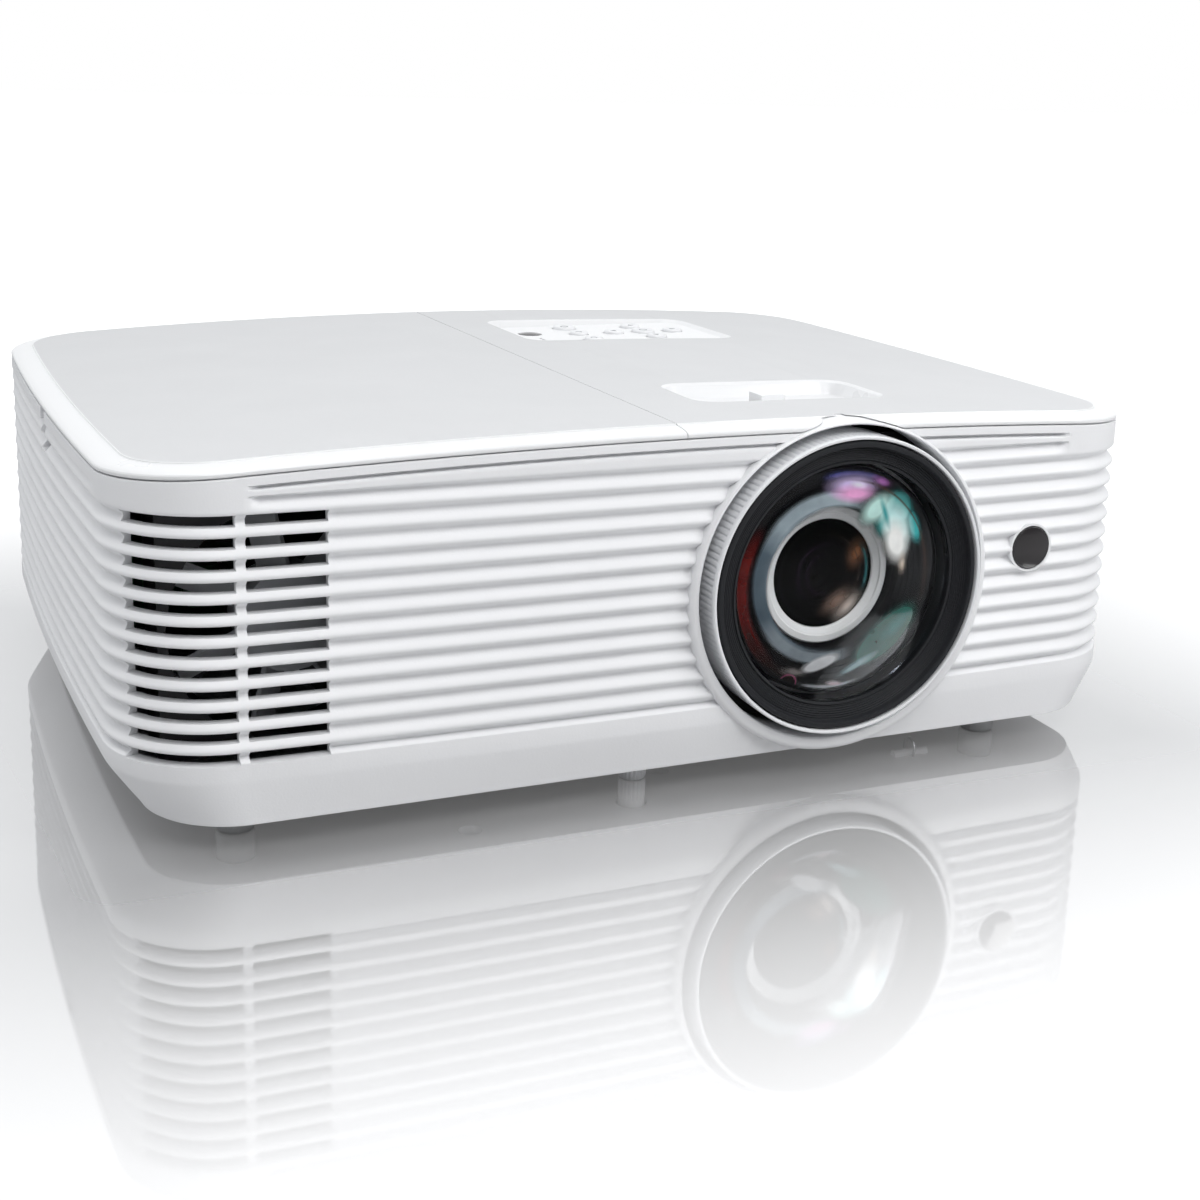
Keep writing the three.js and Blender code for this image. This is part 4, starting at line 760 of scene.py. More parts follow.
# %% Bezel
bezel_low, bezel_high = node_box("lens_bezel")
B = (bezel_high.x - bezel_low.x) / 2
glass_low, glass_high = node_box("front_glass")
G = (glass_high.x - glass_low.x) / 2
bezel_front, bezel_back = bezel_low.y, bezel_high.y
seat = glass_low.y + 5.0
profile = [(G + 0.25, bezel_back), (B, bezel_back), (B, bezel_front + 0.5), (B - 0.3, bezel_front + 0.1),
           (B - 0.9, bezel_front), (B - 1.5, bezel_front + 0.1), (B - 1.8, bezel_front + 0.7)]
for share in np.linspace(0.1, 1, 7):
    radius = B - 1.8 - share * (B - 1.8 - G - 1.2)
    profile += [(radius + 0.25, seat - 0.5 - (1 - share) * 1.2), (radius, seat - 0.2 - (1 - share) * 1.2)]
profile += [(G + 0.9, seat - 0.6), (G + 0.25, seat - 0.4)]
piece("bezel", turned(profile, (lens_x, 0, lens_z), "y", 160, closed=True), "lens_group",
      charcoal, ["lens_bezel"], 26)
print("bezel", round(B, 2), "glass", round(G, 2), "seat", round(seat, 2), "tip", round(glass_low.y, 2))

# %% [markdown]
# ## Glass
# Coated glass is clear face on and mirrors more and more towards its rim. A mirror mixed over a see-through
# shader by the Fresnel rule gives that, and lets light reach the pieces behind it.


# %% Coated glass
def coated_glass(name, tint, mirror_tint, ior):
    tree = Tree(name)
    tree.nodes.remove(tree.shader)
    clear = tree.add("ShaderNodeBsdfTransparent", {"Color": (*tint, 1)})
    smear = tree.span(tree.noise(60, 5.0), 0.35, 0.75, 0.008, 0.05)
    mirror = tree.add("ShaderNodeBsdfGlossy", {"Color": (*mirror_tint, 1), "Roughness": smear})
    fresnel = tree.add("ShaderNodeFresnel", {"IOR": ior})
    mixed = {0: fresnel.outputs[0], 1: clear.outputs[0], 2: mirror.outputs[0]}
    both = tree.add("ShaderNodeMixShader", mixed)
    tree.links.new(both.outputs[0], tree.nodes["Material Output"].inputs[0])
    return tree.material


clear_coat = coated_glass("coated_glass", (0.98, 0.985, 0.99), (0.95, 0.97, 1.0), 1.16)


def dome(radius, edge_y, tip_y, rows=22):
    rise = edge_y - tip_y
    ball = (radius**2 + rise**2) / (2 * rise)
    arc = math.asin(min(radius / ball, 1))
    angles = np.linspace(0, arc, rows)
    return [(ball * math.sin(a), tip_y + ball * (1 - math.cos(a))) for a in angles]


front_dome = dome(G - 0.1, seat, glass_low.y)
back_dome = [(r, y + 2.6) for r, y in dome(G - 1.0, seat, glass_low.y)][::-1]
piece("front_dome", turned(front_dome + [(G - 0.1, seat + 2.0)] + back_dome, (lens_x, 0, lens_z), "y", 128),
      "lens_group", clear_coat, ["front_glass"], 40)

# %% [markdown]
# ## Inside the lens
# Anti-reflection coats answer a lamp with coloured glints: violet and pink high up, green and teal to the
# right, a dark red one to the left. They aren't worked out from real coats or from these lamps. They are
# painted on a thin dome just behind the front glass, as soft patches and arcs placed from the lens axis,
# so they stay where they are when the lamps move.


# %% Dome with painted glints
def from_axis(tree, x, z):
    middle = Vector(((lens_x + x) * MM, 0, (lens_z + z) * MM))
    return tree.add("ShaderNodeVectorMath", {0: tree.place, 1: middle}, operation="SUBTRACT").outputs[0]


def patch_mask(tree, x, z, wide, tall, lean=0.0, soft=0.5):
    turn = {"Vector": from_axis(tree, x, z), "Angle": -lean}
    level = tree.add("ShaderNodeVectorRotate", turn, rotation_type="Y_AXIS")
    size = Vector((1 / (wide * MM), 0, 1 / (tall * MM)))
    local = tree.add("ShaderNodeVectorMath", {0: level.outputs[0], 1: size}, operation="MULTIPLY")
    far = tree.add("ShaderNodeVectorMath", {0: local.outputs[0]}, operation="LENGTH").outputs["Value"]
    return tree.span(far, 1.0, 1.0 - soft, 0, 1)


def times(tree, first, second):
    return tree.add("ShaderNodeMath", {0: first, 1: second}, operation="MULTIPLY").outputs[0]


def arc_mask(tree, x, z, radius, half, degrees, spread, soft=0.5):
    flatten = {0: from_axis(tree, x, z), 1: Vector((1, 0, 1))}
    flat = tree.add("ShaderNodeVectorMath", flatten, operation="MULTIPLY")
    far = tree.add("ShaderNodeVectorMath", {0: flat.outputs[0]}, operation="LENGTH").outputs["Value"]
    off = tree.add("ShaderNodeMath", {0: far, 1: radius * MM}, operation="SUBTRACT").outputs[0]
    off = tree.add("ShaderNodeMath", {0: off}, operation="ABSOLUTE").outputs[0]
    band = tree.span(off, half * MM, half * MM * (1 - soft), 0, 1)
    if spread >= 180:
        return band
    turn = math.radians(degrees)
    unit = tree.add("ShaderNodeVectorMath", {0: flat.outputs[0]}, operation="NORMALIZE").outputs[0]
    towards = tree.add("ShaderNodeVectorMath", {0: unit, 1: Vector((math.cos(turn), 0, math.sin(turn)))},
                       operation="DOT_PRODUCT").outputs["Value"]
    wide = math.radians(spread)
    return times(tree, band, tree.span(towards, math.cos(wide), math.cos(wide * 0.55), 0, 1))


# Each glint: colour, how solid it is, then either a patch (x, z, half width, half height, lean, softness)
# or an arc (x, z, radius, half thickness, direction, spread, softness), all from the lens axis.
GLINTS = [
    ((0.13, 0.18, 0.22), 0.92, "arc", (-3.5, 1.0, 22.4, 2.4, 185, 95, 0.35)),
    ((0.42, 0.50, 0.54), 0.90, "arc", (-3.0, 1.5, 23.0, 2.8, 108, 50, 0.5)),
    ((0.42, 0.48, 0.52), 0.85, "arc", (-3.5, 0.5, 22.8, 2.6, 250, 45, 0.5)),
    ((0.16, 0.006, 0.004), 0.97, "arc", (0, 0, 31.0, 2.3, 187, 44, 0.5)),
    ((0.03, 0.008, 0.006), 0.8, "arc", (0, 0, 31.0, 1.6, 225, 30, 0.7)),
    ((0.95, 0.86, 0.74), 0.95, "arc", (0, 0, 33.4, 0.55, 168, 9, 0.8)),
    ((0.20, 0.22, 0.75), 0.80, "arc", (1.0, 0, 31.3, 1.6, 84, 22, 0.9)),
    ((0.78, 0.62, 0.95), 0.96, "patch", (3.0, 27.8, 11.0, 4.4, 0.02, 0.7)),
    ((0.93, 0.42, 0.72), 0.96, "patch", (3.4, 25.6, 8.5, 3.0, 0.06, 0.7)),
    ((0.80, 0.30, 0.80), 0.95, "patch", (13.0, 28.4, 4.6, 1.9, 0.35, 0.8)),
    ((0.92, 0.90, 0.98), 0.90, "patch", (4.6, 28.0, 3.4, 1.2, 0.2, 0.9)),
    ((0.10, 0.42, 0.40), 0.95, "patch", (17.0, 19.0, 9.5, 6.5, -0.75, 0.4)),
    ((0.62, 0.90, 0.82), 0.95, "patch", (10.5, 20.8, 8.0, 4.4, -0.55, 0.6)),
    ((0.06, 0.50, 0.50), 0.95, "patch", (24.2, 14.6, 3.0, 7.0, -0.35, 0.6)),
    ((0.66, 0.93, 0.90), 0.98, "patch", (18.0, 15.0, 6.2, 9.0, -0.45, 0.6)),
    ((0.99, 0.98, 0.94), 1.00, "patch", (17.4, 10.6, 5.6, 8.2, -0.30, 0.6)),
    ((0.05, 0.34, 0.34), 0.95, "patch", (13.4, 19.5, 1.3, 6.0, -0.3, 0.8)),
    ((0.90, 0.74, 0.60), 0.80, "patch", (20.0, 3.8, 2.0, 4.0, 0.0, 0.9)),
    ((0.010, 0.115, 0.085), 0.98, "patch", (16.5, -17.6, 14.5, 6.6, -0.66, 0.25)),
    ((0.015, 0.17, 0.14), 0.95, "patch", (20.0, -14.6, 7.0, 3.0, -0.66, 0.8)),
    ((0.42, 0.60, 0.62), 0.95, "patch", (7.5, -26.0, 8.5, 1.8, -0.45, 0.7)),
    ((0.92, 0.92, 0.93), 1.00, "patch", (-5.0, -24.0, 7.0, 2.5, -0.32, 0.35)),
    ((0.45, 0.40, 0.38), 0.85, "patch", (-13.0, -26.0, 5.5, 1.8, 0.25, 0.8)),
    ((0.78, 0.80, 0.84), 0.95, "arc", (0, 0, 32.0, 1.0, 268, 20, 0.8)),
    ((0.95, 0.80, 0.84), 0.95, "patch", (1.0, -31.2, 3.8, 1.0, 0.12, 0.6)),
    ((0.60, 0.16, 0.30), 0.80, "arc", (-14.5, -29.5, 2.7, 0.45, 0, 180, 0.8)),
    ((0.10, 0.045, 0.02), 0.80, "arc", (0, 0, 29.5, 0.5, 30, 60, 0.8)),
    ((0.16, 0.10, 0.06), 0.70, "arc", (0, 0, 32.6, 0.35, -5, 70, 0.8)),
]


# Painted highlights: each glint is a colour on the surface, shown where its mask covers it and see-through
# elsewhere.
def painted_glint_glass(name, glints):
    tree = Tree(name)
    colour, cover = (0.003, 0.003, 0.004), None
    for tone, solid, kind, place in glints:
        mask = times(tree, (patch_mask if kind == "patch" else arc_mask)(tree, *place), solid)
        colour = tree.mix(mask, colour, tone)
        if cover is None:
            cover = mask
        else:
            cover = tree.add("ShaderNodeMath", {0: cover, 1: mask}, operation="MAXIMUM").outputs[0]
    tree.put("Base Color", colour)
    tree.put("Roughness", tree.span(tree.noise(300, 2.0), 0.3, 0.7, 0.10, 0.2))
    tree.shader.inputs["Specular IOR Level"].default_value = 0.12
    clear = tree.add("ShaderNodeBsdfTransparent")
    ripple = tree.span(tree.noise(220, 3.0), 0.25, 0.6, 0.82, 1.0)
    mixed = {0: times(tree, cover, ripple), 1: clear.outputs[0], 2: tree.shader.outputs[0]}
    both = tree.add("ShaderNodeMixShader", mixed)
    tree.links.new(both.outputs[0], tree.nodes["Material Output"].inputs[0])
    return tree.material


# Painted reflections: the coloured glints sit on this thin dome behind the front glass.
glint_front = [(r, y + 4.4) for r, y in dome(G - 2.2, seat, glass_low.y + 0.6)]
glint_back = [(r, y + 0.8) for r, y in glint_front][::-1]
piece("painted_glint_dome", turned(glint_front + glint_back, (lens_x, 0, lens_z), "y", 128), "lens_group",
      painted_glint_glass("painted_glints", GLINTS), (), 40)

# %% [markdown]
# The throat behind the glass steps inwards like a staircase, which traps stray light. Its steps show as
# fine rings. A pale retaining ring holds the inner glass, and inside it more black steps lead back.

# %% Throat and pale ring
gloss_black = plastic("gloss_black", (0.004, 0.004, 0.005), 0.22, relief=0.005, polish=0.3)
gloss_black.node_tree.nodes["Principled BSDF"].inputs["Specular IOR Level"].default_value = 0.18
pale_ring = plastic("pale_ring", (0.95, 0.95, 0.94), 0.34, groove_shade=0.2)
barrel_low, barrel_high = node_box("lens_barrel")
barrel_radius = (barrel_high.x - barrel_low.x) / 2
PALE_OUT, PALE_IN, PALE_Y = 20.8, 16.3, front + 9.0
mouth = barrel_low.y
profile = [(barrel_radius, barrel_high.y), (barrel_radius, mouth + 0.2), (barrel_radius - 0.3, mouth)]
for i in range(8):
    radius = barrel_radius - 0.6 - i * 1.45
    deep = mouth + 0.2 + i * 0.55
    profile += [(radius, deep), (radius - 0.25, deep + 0.5)]
profile += [(PALE_OUT + 0.2, PALE_Y + 2.2), (PALE_OUT + 0.2, PALE_Y + 3.2),
            (barrel_radius - 1.6, PALE_Y + 3.4), (barrel_radius - 1.6, barrel_high.y)]
piece("throat", turned(profile, (lens_x, 0, lens_z), "y", 128, closed=True), "lens_group",
      gloss_black, ["lens_barrel"], 24)
profile = [(PALE_OUT, PALE_Y + 3), (PALE_OUT, PALE_Y + 0.6), (PALE_OUT - 0.5, PALE_Y),
           (PALE_OUT - 2.2, PALE_Y + 0.1), (PALE_OUT - 2.5, PALE_Y + 0.5), (PALE_IN + 0.3, PALE_Y + 1.2),
           (PALE_IN, PALE_Y + 1.6), (PALE_IN, PALE_Y + 3)]
piece("pale_ring", turned(profile, (lens_x, 0, lens_z), "y", 128, closed=True), "lens_group",
      pale_ring, (), 26)
profile = [(PALE_IN - 0.1, PALE_Y + 1.8)]
for i in range(7):
    radius = PALE_IN - 0.4 - i * 1.5
    profile += [(radius, PALE_Y + 1.9 + i * 0.9), (radius - 0.3, PALE_Y + 2.6 + i * 0.9)]
eye = profile[-1]
profile += [(4.5, eye[1] + 0.2), (4.0, eye[1] - 0.4), (2.5, eye[1] - 1.0), (0, eye[1] - 1.3)]
profile += [(0, eye[1] + 4), (PALE_IN - 0.1, eye[1] + 4)]
piece("inner_eye", turned(profile[::-1], (lens_x, 0, lens_z), "y", 96), "lens_group",
      gloss_black, ["inner_glass"], 24)

# %% Inner glass with painted glints
# Painted reflections: coloured glints on the inner glass, as patches and arcs placed from the lens axis.
EYE_GLINTS = [
    ((0.42, 0.17, 0.07), 0.92, "patch", (10.5, 5.5, 4.6, 6.4, 0.4, 0.9)),
    ((0.86, 0.74, 0.66), 0.95, "patch", (8.5, -10.5, 8.0, 4.4, -0.75, 0.9)),
    ((0.40, 0.26, 0.20), 0.85, "patch", (4.5, -8.5, 8.0, 4.6, -0.6, 0.9)),
    ((0.03, 0.16, 0.17), 0.95, "arc", (0, 0, 14.4, 0.9, 5, 34, 0.7)),
    ((0.05, 0.02, 0.06), 0.80, "arc", (0, 0, 9.0, 0.35, 150, 100, 0.8)),
    ((0.05, 0.02, 0.06), 0.80, "arc", (0, 0, 6.2, 0.3, 180, 110, 0.8)),
    ((0.10, 0.07, 0.05), 0.80, "arc", (0, 0, 11.6, 0.3, 20, 80, 0.8)),
]
lens_front = [(r, PALE_Y + 1.5 + y) for r, y in dome(PALE_IN - 0.15, 0.0, -1.4, 12)]
lens_back = [(r, y + 0.5) for r, y in lens_front][::-1]
piece("inner_coated_glass", turned(lens_front + lens_back, (lens_x, 0, lens_z), "y", 96), "lens_group",
      painted_glint_glass("eye_coat", EYE_GLINTS), (), 40)

# %% [markdown]
# ## Sleeve and lever
# The focus ring turns a sleeve, and a small lever on the sleeve comes up through the lid so that a finger
# can turn it. The lever's top is ribbed for grip.

# %% Lever
lever_grip = bpy.data.objects.new("focus_lever", nodes["focus_sleeve"].data.copy())
bpy.context.scene.collection.objects.link(lever_grip)
finish_piece(lever_grip, "focus_group", [plate_white], ["focus_sleeve"], 30)
soften = lever_grip.modifiers.new("soft edges", "BEVEL")
soften.width, soften.segments, soften.limit_method = 0.0006, 3, "ANGLE"

# %% [markdown]
# ## Receiver window
# The remote control's receiver sits behind a small domed window of smoked plastic, black and shiny.


# %% Smoked windows
def smoked(name):
    tree = Tree(name)
    tree.put("Base Color", tree.mix(tree.noise(90, 3.0), (0.006, 0.005, 0.006), (0.016, 0.012, 0.014)))
    tree.put("Roughness", tree.span(tree.noise(140, 3.0), 0.3, 0.7, 0.06, 0.14))
    tree.put("Normal", tree.bump(tree.noise(30, 1.0), 0.02, 0.3))
    tree.shader.inputs["Coat Weight"].default_value = 0.5
    return tree.material


smoked_window = smoked("smoked_window")
W = window_radius
depth = window_high.y - window_low.y
profile = [(0, 0)] + [(W * 0.96 * s, 0.45 * s**2) for s in np.linspace(0.15, 1, 10)]
profile += [(W, 0.8), (W, 1.5), (W - 1.2, 1.8), (W - 1.2, depth), (0, depth)]
piece("receiver", turned(profile, (window_x, window_low.y - 1.1, window_z), "y", 72), "chassis",
      smoked_window, ["receiver_window"], 40)

# %% [markdown]
# ## Keypad
# Round keys stand in a plate, with a status light bar and a second receiver window beside them. The keys
# are turned with a dished top, because a shallow dish finds the fingertip. Arrows and a ring are the only
# marks.


# %% Keys and plate
def arrow(x, y, z, turn, size=1.35):
    flat = [(size, 0), (-size * 0.6, size * 0.85), (-size * 0.6, -size * 0.85)]
    c, s = math.cos(turn), math.sin(turn)
    return prism([(x + a * c - b * s, y + a * s + b * c) for a, b in flat], z - 0.3, z + 0.06)


def tube(x, y, z, radius, wall):
    profile = [(radius - wall, z - 0.3), (radius, z - 0.3), (radius, z + 0.06), (radius - wall, z + 0.06)]
    return turned(profile, (x, y, 0), "z", 40, closed=True)


MARKS = {"up": math.pi / 2, "down": -math.pi / 2, "left": math.pi, "right": 0}
for key in KEYS:
    low, high = node_box(key + "_button")
    x, y, radius, top = (low.x + high.x) / 2, (low.y + high.y) / 2, (high.x - low.x) / 2, high.z
    profile = [(0, low.z), (radius, low.z), (radius, top - 0.7), (radius - 0.08, top - 0.35),
               (radius - 0.3, top - 0.1), (radius - 0.6, top), (radius - 1.0, top - 0.05),
               (radius * 0.5, top - 0.25), (0, top - 0.32)]
    cap = turned(profile, (x, y, 0), "z", 56)
    face = top - 0.28
    mark = arrow(x, y, face, MARKS[key]) if key in MARKS else tube(x, y, face, radius * 0.36, 0.35)
    made = new_object(key + "_key", *joined(cap, mark))
    finish_piece(made, key + "_button", [key_grey, mark_grey], [key + "_button"], 34)
    for polygon in list(made.data.polygons)[len(cap[1]):]:
        polygon.material_index = 1

# %% Plate, light bar and small window
plate_size = plate_high - plate_low
plate_levels = [(-2.6, plate_low.z), (-2.6, plate_high.z - 0.3), (-2.9, plate_high.z)]
plate = new_object("keypad_face", *stacked(pad_x, pad_y, plate_size.x, plate_size.y, 6.5, plate_levels))
holes = []
for key in KEYS:
    low, high = node_box(key + "_button")
    radius = (high.x - low.x) / 2 + 0.4
    holes.append(turned([(0, low.z - 2), (radius, low.z - 2), (radius, high.z + 2), (0, high.z + 2)],
                        ((low.x + high.x) / 2, (low.y + high.y) / 2, 0), "z", 56))
low, high = node_box("lid_receiver_window")
eye_x, eye_y, eye_radius = (low.x + high.x) / 2, (low.y + high.y) / 2, (high.x - low.x) / 2
eye_hole = eye_radius + 0.3
holes.append(turned([(0, low.z - 2), (eye_hole, low.z - 2), (eye_hole, high.z + 2), (0, high.z + 2)],
                    (eye_x, eye_y, 0), "z", 56))
profile = [(0, low.z), (eye_radius, low.z), (eye_radius, high.z - 0.5)]
profile += [(eye_radius * s, high.z - 0.5 * s**2) for s in (0.95, 0.8, 0.6, 0.4, 0.2)] + [(0, high.z)]
piece("lid_eye", turned(profile, (eye_x, eye_y, 0), "z", 56), "chassis", smoked_window,
      ["lid_receiver_window"], 40)
bar_low, bar_high = node_box("status_light_bar")
holes.append(block(bar_low - Vector((0.3, 0.3, 2)), bar_high + Vector((0.3, 0.3, 2))))
combine(plate, "DIFFERENCE", joined(*holes))
finish_piece(plate, "chassis", [plate_white], ["keypad_plate"])

# %% [markdown]
# ## Feet, pads and the tether
# Each foot is a white plastic screw with a grooved rim; the two pads are soft rubber. A small bar under
# the front corner holds a closed loop of plated wire. The bar and the loop keep the frame's shapes.

# %% Feet
grooves = 18
for name in FEET:
    low, high = node_box(name)
    x, y, radius = (low.x + high.x) / 2, (low.y + high.y) / 2, (high.x - low.x) / 2
    steps = grooves * 6
    profile = [(0, low.z), (radius - 0.9, low.z), (radius - 0.3, low.z + 0.25), (radius, low.z + 0.9),
               (radius, FOOT_HEIGHT - 2.2), (radius - 0.15, FOOT_HEIGHT - 2.0),
               (radius - 0.15, FOOT_HEIGHT + 2.4),
               (2.9, FOOT_HEIGHT + 2.6), (2.9, high.z - 0.5), (2.4, high.z), (0, high.z)]
    points, faces = turned(profile, (x, y, 0), "z", steps)
    points[1 + steps * 2:1 + steps * 4] -= (
        (points[1 + steps * 2:1 + steps * 4] - (x, y, 0)) * (1, 1, 0)
        * np.tile([0, 0, 0.35, 1, 0.35, 0], 2 * grooves)[:, None] * 0.09
    )
    piece(name + "_cap", (points, faces), name, casing_white, [name], 30)

# %% Rubber pads
for name in ("front_pad_left", "front_pad_right"):
    low, high = node_box(name)
    x, y, radius = (low.x + high.x) / 2, (low.y + high.y) / 2, (high.x - low.x) / 2
    profile = [(0, low.z), (radius - 1.2, low.z), (radius - 0.5, low.z + 0.15), (radius - 0.1, low.z + 0.6),
               (radius, low.z + 1.1), (radius, high.z), (0, high.z)]
    disc = turned(profile, (x, y, 0), "z", 64)
    piece(name + "_disc", disc, "chassis", pad_rubber, [name], 40)

# %% [markdown]
# ## Finishes for the pieces inside
# Metal is plated or cast, boards are green with a pattern of tracks, and the fans have black frames and
# grey blades. These pieces keep the frame's shapes, with a small bevel so that edges catch light.


# %% Metals and boards
def metal(name, colour, roughness, stretch=(1, 1, 1), scale=400, relief=0.01):
    tree = Tree(name)
    grain = tree.noise(scale, 4.0, stretch)
    colour = np.array(colour)
    worn = tree.mix(grain, colour * 0.85, np.minimum(colour * 1.1, 1))
    edge = tree.add("ShaderNodeNewGeometry").outputs["Pointiness"]
    tree.put("Base Color", tree.mix(tree.span(edge, 0.52, 0.6, 0, 0.4), worn, np.minimum(colour * 1.3, 1)))
    tree.put("Metallic", 1.0)
    tree.put("Roughness", tree.span(grain, 0.3, 0.7, roughness * 0.8, roughness * 1.25))
    tree.put("Normal", tree.bump(grain, relief))
    return tree.material


def board_green(name):
    tree = Tree(name)
    cells = tree.add("ShaderNodeTexBrick", {"Vector": tree.place, "Scale": 160.0, "Mortar Size": 0.03})
    tracks = cells.outputs["Fac"]
    green = tree.mix(tree.noise(40, 2.0), (0.015, 0.10, 0.05), (0.02, 0.14, 0.07))
    tree.put("Base Color", tree.mix(tracks, green, (0.10, 0.30, 0.14)))
    tree.put("Roughness", tree.span(tracks, 0, 1, 0.32, 0.5))
    tree.put("Normal", tree.bump(tracks, 0.05))
    return tree.material


plated_steel = metal("plated_steel", (0.60, 0.61, 0.63), 0.22)
cast_alloy = metal("cast_alloy", (0.55, 0.56, 0.58), 0.45, scale=900, relief=0.06)
lamp_mirror = metal("lamp_mirror", (0.85, 0.87, 0.90), 0.10, scale=120)
circuit_board = board_green("circuit_board")
socket_black = plastic("socket_black", (0.022, 0.022, 0.024), 0.38)

# %% Finish every carried-over piece
INSIDE = {
    "plated_steel": plated_steel, "cast_alloy": cast_alloy, "circuit_board": circuit_board,
    "black_plastic": black_plastic, "grey_plastic": post_grey, "lamp_mirror": lamp_mirror,
    "smoked_window": smoked_window, "clear_glass": clear_coat, "casing_white": casing_white,
    "lid_white": lid_gloss, "key_grey": key_grey, "pad_rubber": pad_rubber, "light_pipe": plate_white,
}
count = 0
for name, made in nodes.items():
    if made.hide_render:
        continue
    slot_name = next((m.material for m in made.material_slots if m.material), None)
    key = slot_name.name if slot_name else "black_plastic"
    finish = next((f for word, f in INSIDE.items() if key.startswith(word)), socket_black)
    made.data.materials.clear()
    made.data.materials.append(finish)
    edge = made.modifiers.new("soft edges", "BEVEL")
    edge.width, edge.segments, edge.limit_method, edge.angle_limit = 0.00025, 2, "ANGLE", math.radians(40)
    count += 1
print(count, "pieces keep the frame's shape:", sorted(n for n, o in nodes.items() if not o.hide_render))

# %% [markdown]
# The two wide sockets get what makes them readable from behind: a dark insulator with rows of plated
# contacts, and a hexagonal nut at each end.


# %% Contacts and nuts
def contacts(name, rows, pitch, colour):
    low, high = node_box(name)
    x, z, y = (low.x + high.x) / 2, (low.z + high.z) / 2, high.y
    flat = [(-7.6, 3.3), (7.6, 3.3), (6.4, -3.3), (-6.4, -3.3)]
    face = [(x + a, y + d, z + b) for d in (-0.4, -0.05) for a, b in flat]
    sides = [(0, 1, 2, 3), (7, 6, 5, 4), (0, 4, 5, 1), (1, 5, 6, 2), (2, 6, 7, 3), (3, 7, 4, 0)]
    pin_profile = [(0, -0.2), (0.5, -0.2), (0.5, -0.02), (0.25, 0.0), (0.2, -0.08), (0, -0.08)]
    pins = []
    for row, count in enumerate(rows):
        for i in range(count):
            place = (x + (i - (count - 1) / 2) * pitch, y, z + ((len(rows) - 1) / 2 - row) * 2.0)
            pins.append(turned(pin_profile, place, "y", 12))
    nut_profile = [(0, -2.1), (2.4, -2.1), (2.4, -0.4), (2.1, -0.1), (1.2, -0.1), (1.1, -0.6), (0, -0.6)]
    nuts = [turned(nut_profile, (x + side, y, z), "y", 6) for side in (-12.3, 12.3)]
    made = new_object(name + "_contacts", *joined((np.array(face), sides), *pins, *nuts))
    finish_piece(made, "chassis", [colour, gold, plated_steel], (), 30)
    first_pin = len(sides)
    first_nut = first_pin + sum(len(pin[1]) for pin in pins)
    for index, polygon in enumerate(made.data.polygons):
        polygon.material_index = 0 if index < first_pin else 1 if index < first_nut else 2


gold = metal("gold_contact", (0.80, 0.58, 0.25), 0.25)
socket_blue = plastic("socket_blue", (0.020, 0.045, 0.22), 0.45)
contacts("vga_socket", (5, 5, 5), 2.3, socket_blue)
contacts("serial_socket", (5, 4), 2.6, socket_black)

# %% [markdown]
# ## Floor and light
# A pale floor and big soft lamps make a plain studio. The floor mirrors the casing close to it. The mirror
# fades with the distance from the casing, and a glow that only the camera sees fades in and turns it white.
# The key lamp stands to the right in front, so the left corner falls into soft shade.

# %% Studio
def floor_finish():
    tree = Tree("floor_pale")
    spread = tree.add("ShaderNodeVectorMath", {0: tree.place}, operation="ABSOLUTE").outputs[0]
    casing_half = Vector((half_width, half_depth, 0)) * MM
    outside = tree.add("ShaderNodeVectorMath", {0: spread, 1: casing_half}, operation="SUBTRACT").outputs[0]
    none = Vector((0, 0, 0))
    outside = tree.add("ShaderNodeVectorMath", {0: outside, 1: none}, operation="MAXIMUM").outputs[0]
    away = tree.add("ShaderNodeVectorMath", {0: outside}, operation="LENGTH").outputs["Value"]
    tree.put("Base Color", tree.mix(tree.noise(3, 2.0), (0.58, 0.58, 0.585), (0.60, 0.60, 0.605)))
    tree.put("Roughness", tree.span(tree.noise(8, 2.0), 0.3, 0.7, 0.03, 0.05))
    tree.put("Metallic", tree.span(away, 0.0, 0.175, 0.74, 0.0))
    tree.shader.inputs["IOR"].default_value = 1.6
    tree.shader.inputs["Emission Color"].default_value = (1, 1, 1, 1)
    seen = tree.add("ShaderNodeLightPath").outputs["Is Camera Ray"]
    tree.put("Emission Strength", times(tree, tree.span(away, 0.0, 0.24, 0.08, 0.62), seen))
    return tree.material


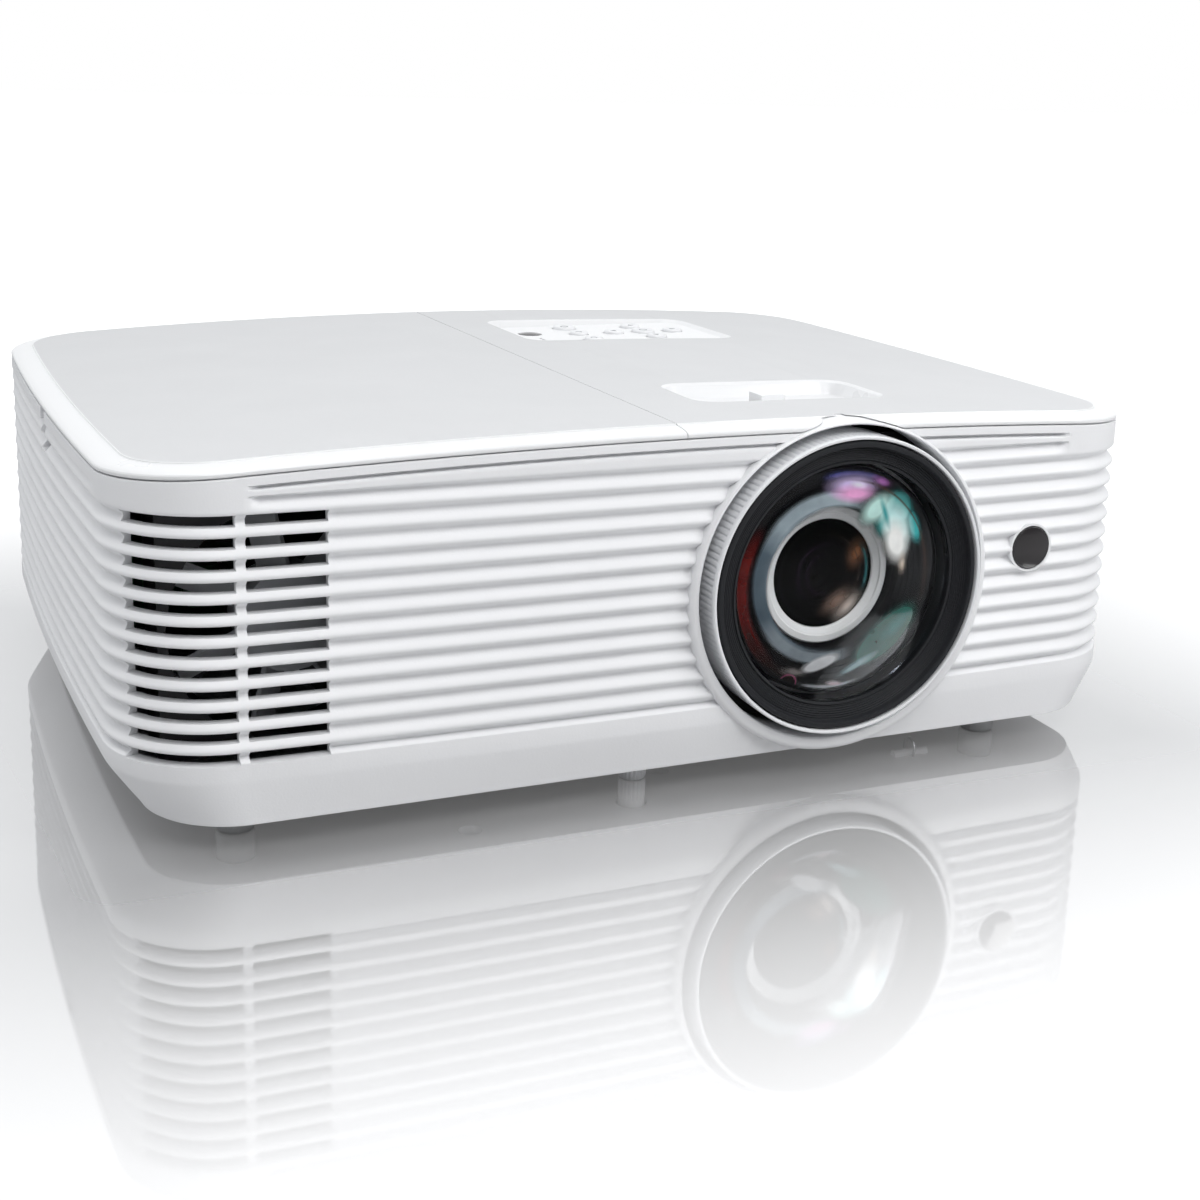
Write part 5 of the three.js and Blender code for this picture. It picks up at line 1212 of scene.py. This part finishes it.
FAR = 9000
floor = new_object("floor", [(-FAR, -FAR, 0), (FAR, -FAR, 0), (FAR, FAR, 0), (-FAR, FAR, 0)], [(0, 1, 2, 3)])
floor.data.materials.append(floor_finish())
floor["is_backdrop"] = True


def lamp(name, place, aim, size, power):
    data = bpy.data.lights.new(name, "AREA")
    data.shape, data.size, data.energy = "SQUARE", size, power
    made = bpy.data.objects.new(name, data)
    bpy.context.scene.collection.objects.link(made)
    made.location = place
    made.rotation_euler = (Vector(aim) - Vector(place)).to_track_quat("-Z", "Y").to_euler()


lamp("key", (0.80, -0.75, 0.66), (0.06, 0, 0.05), 0.5, 5.4)
lamp("top", (-0.1, 0.35, 1.5), (0, 0, 0.1), 1.3, 2.6)
lamp("front", (-0.15, -0.78, 1.06), (0, -0.1, 0.06), 0.6, 6.5)

# %% [markdown]
# The backdrop behind the casing is bright and the room in front of it is dimmer. That keeps the floor white
# and gives the front face its shade. The camera itself sees plain white.

# %% Backdrop
world = bpy.data.worlds.new("studio")
world.use_nodes = True
parts, join = world.node_tree.nodes, world.node_tree.links.new
room, seen = parts["Background"], parts.new("ShaderNodeBackground")
room.inputs["Color"].default_value = (0.97, 0.985, 1, 1)
direction = parts.new("ShaderNodeTexCoord")
towards = parts.new("ShaderNodeVectorMath")
towards.operation = "DOT_PRODUCT"
towards.inputs[1].default_value = (-0.25, 0.95, 0.12)
glow = parts.new("ShaderNodeMapRange")
glow.interpolation_type = "SMOOTHSTEP"
for socket, value in zip(glow.inputs[1:5], (-0.4, 0.6, 0.25, 1.0)):
    socket.default_value = value
blend, ray = parts.new("ShaderNodeMixShader"), parts.new("ShaderNodeLightPath")
join(direction.outputs["Generated"], towards.inputs[0])
join(towards.outputs["Value"], glow.inputs[0])
join(glow.outputs[0], room.inputs["Strength"])
join(ray.outputs["Is Camera Ray"], blend.inputs[0])
join(room.outputs[0], blend.inputs[1])
join(seen.outputs[0], blend.inputs[2])
join(blend.outputs[0], parts["World Output"].inputs[0])
seen.inputs["Color"].default_value = (1, 1, 1, 1)
bpy.context.scene.world = world
bpy.context.scene.view_settings.view_transform = "Standard"

# %% [markdown]
# ## The bounds
# The bounds of the visual model, floor left out, are measured. The visual model must
# fit in the frame's box.

# %% Boxes
low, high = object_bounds()
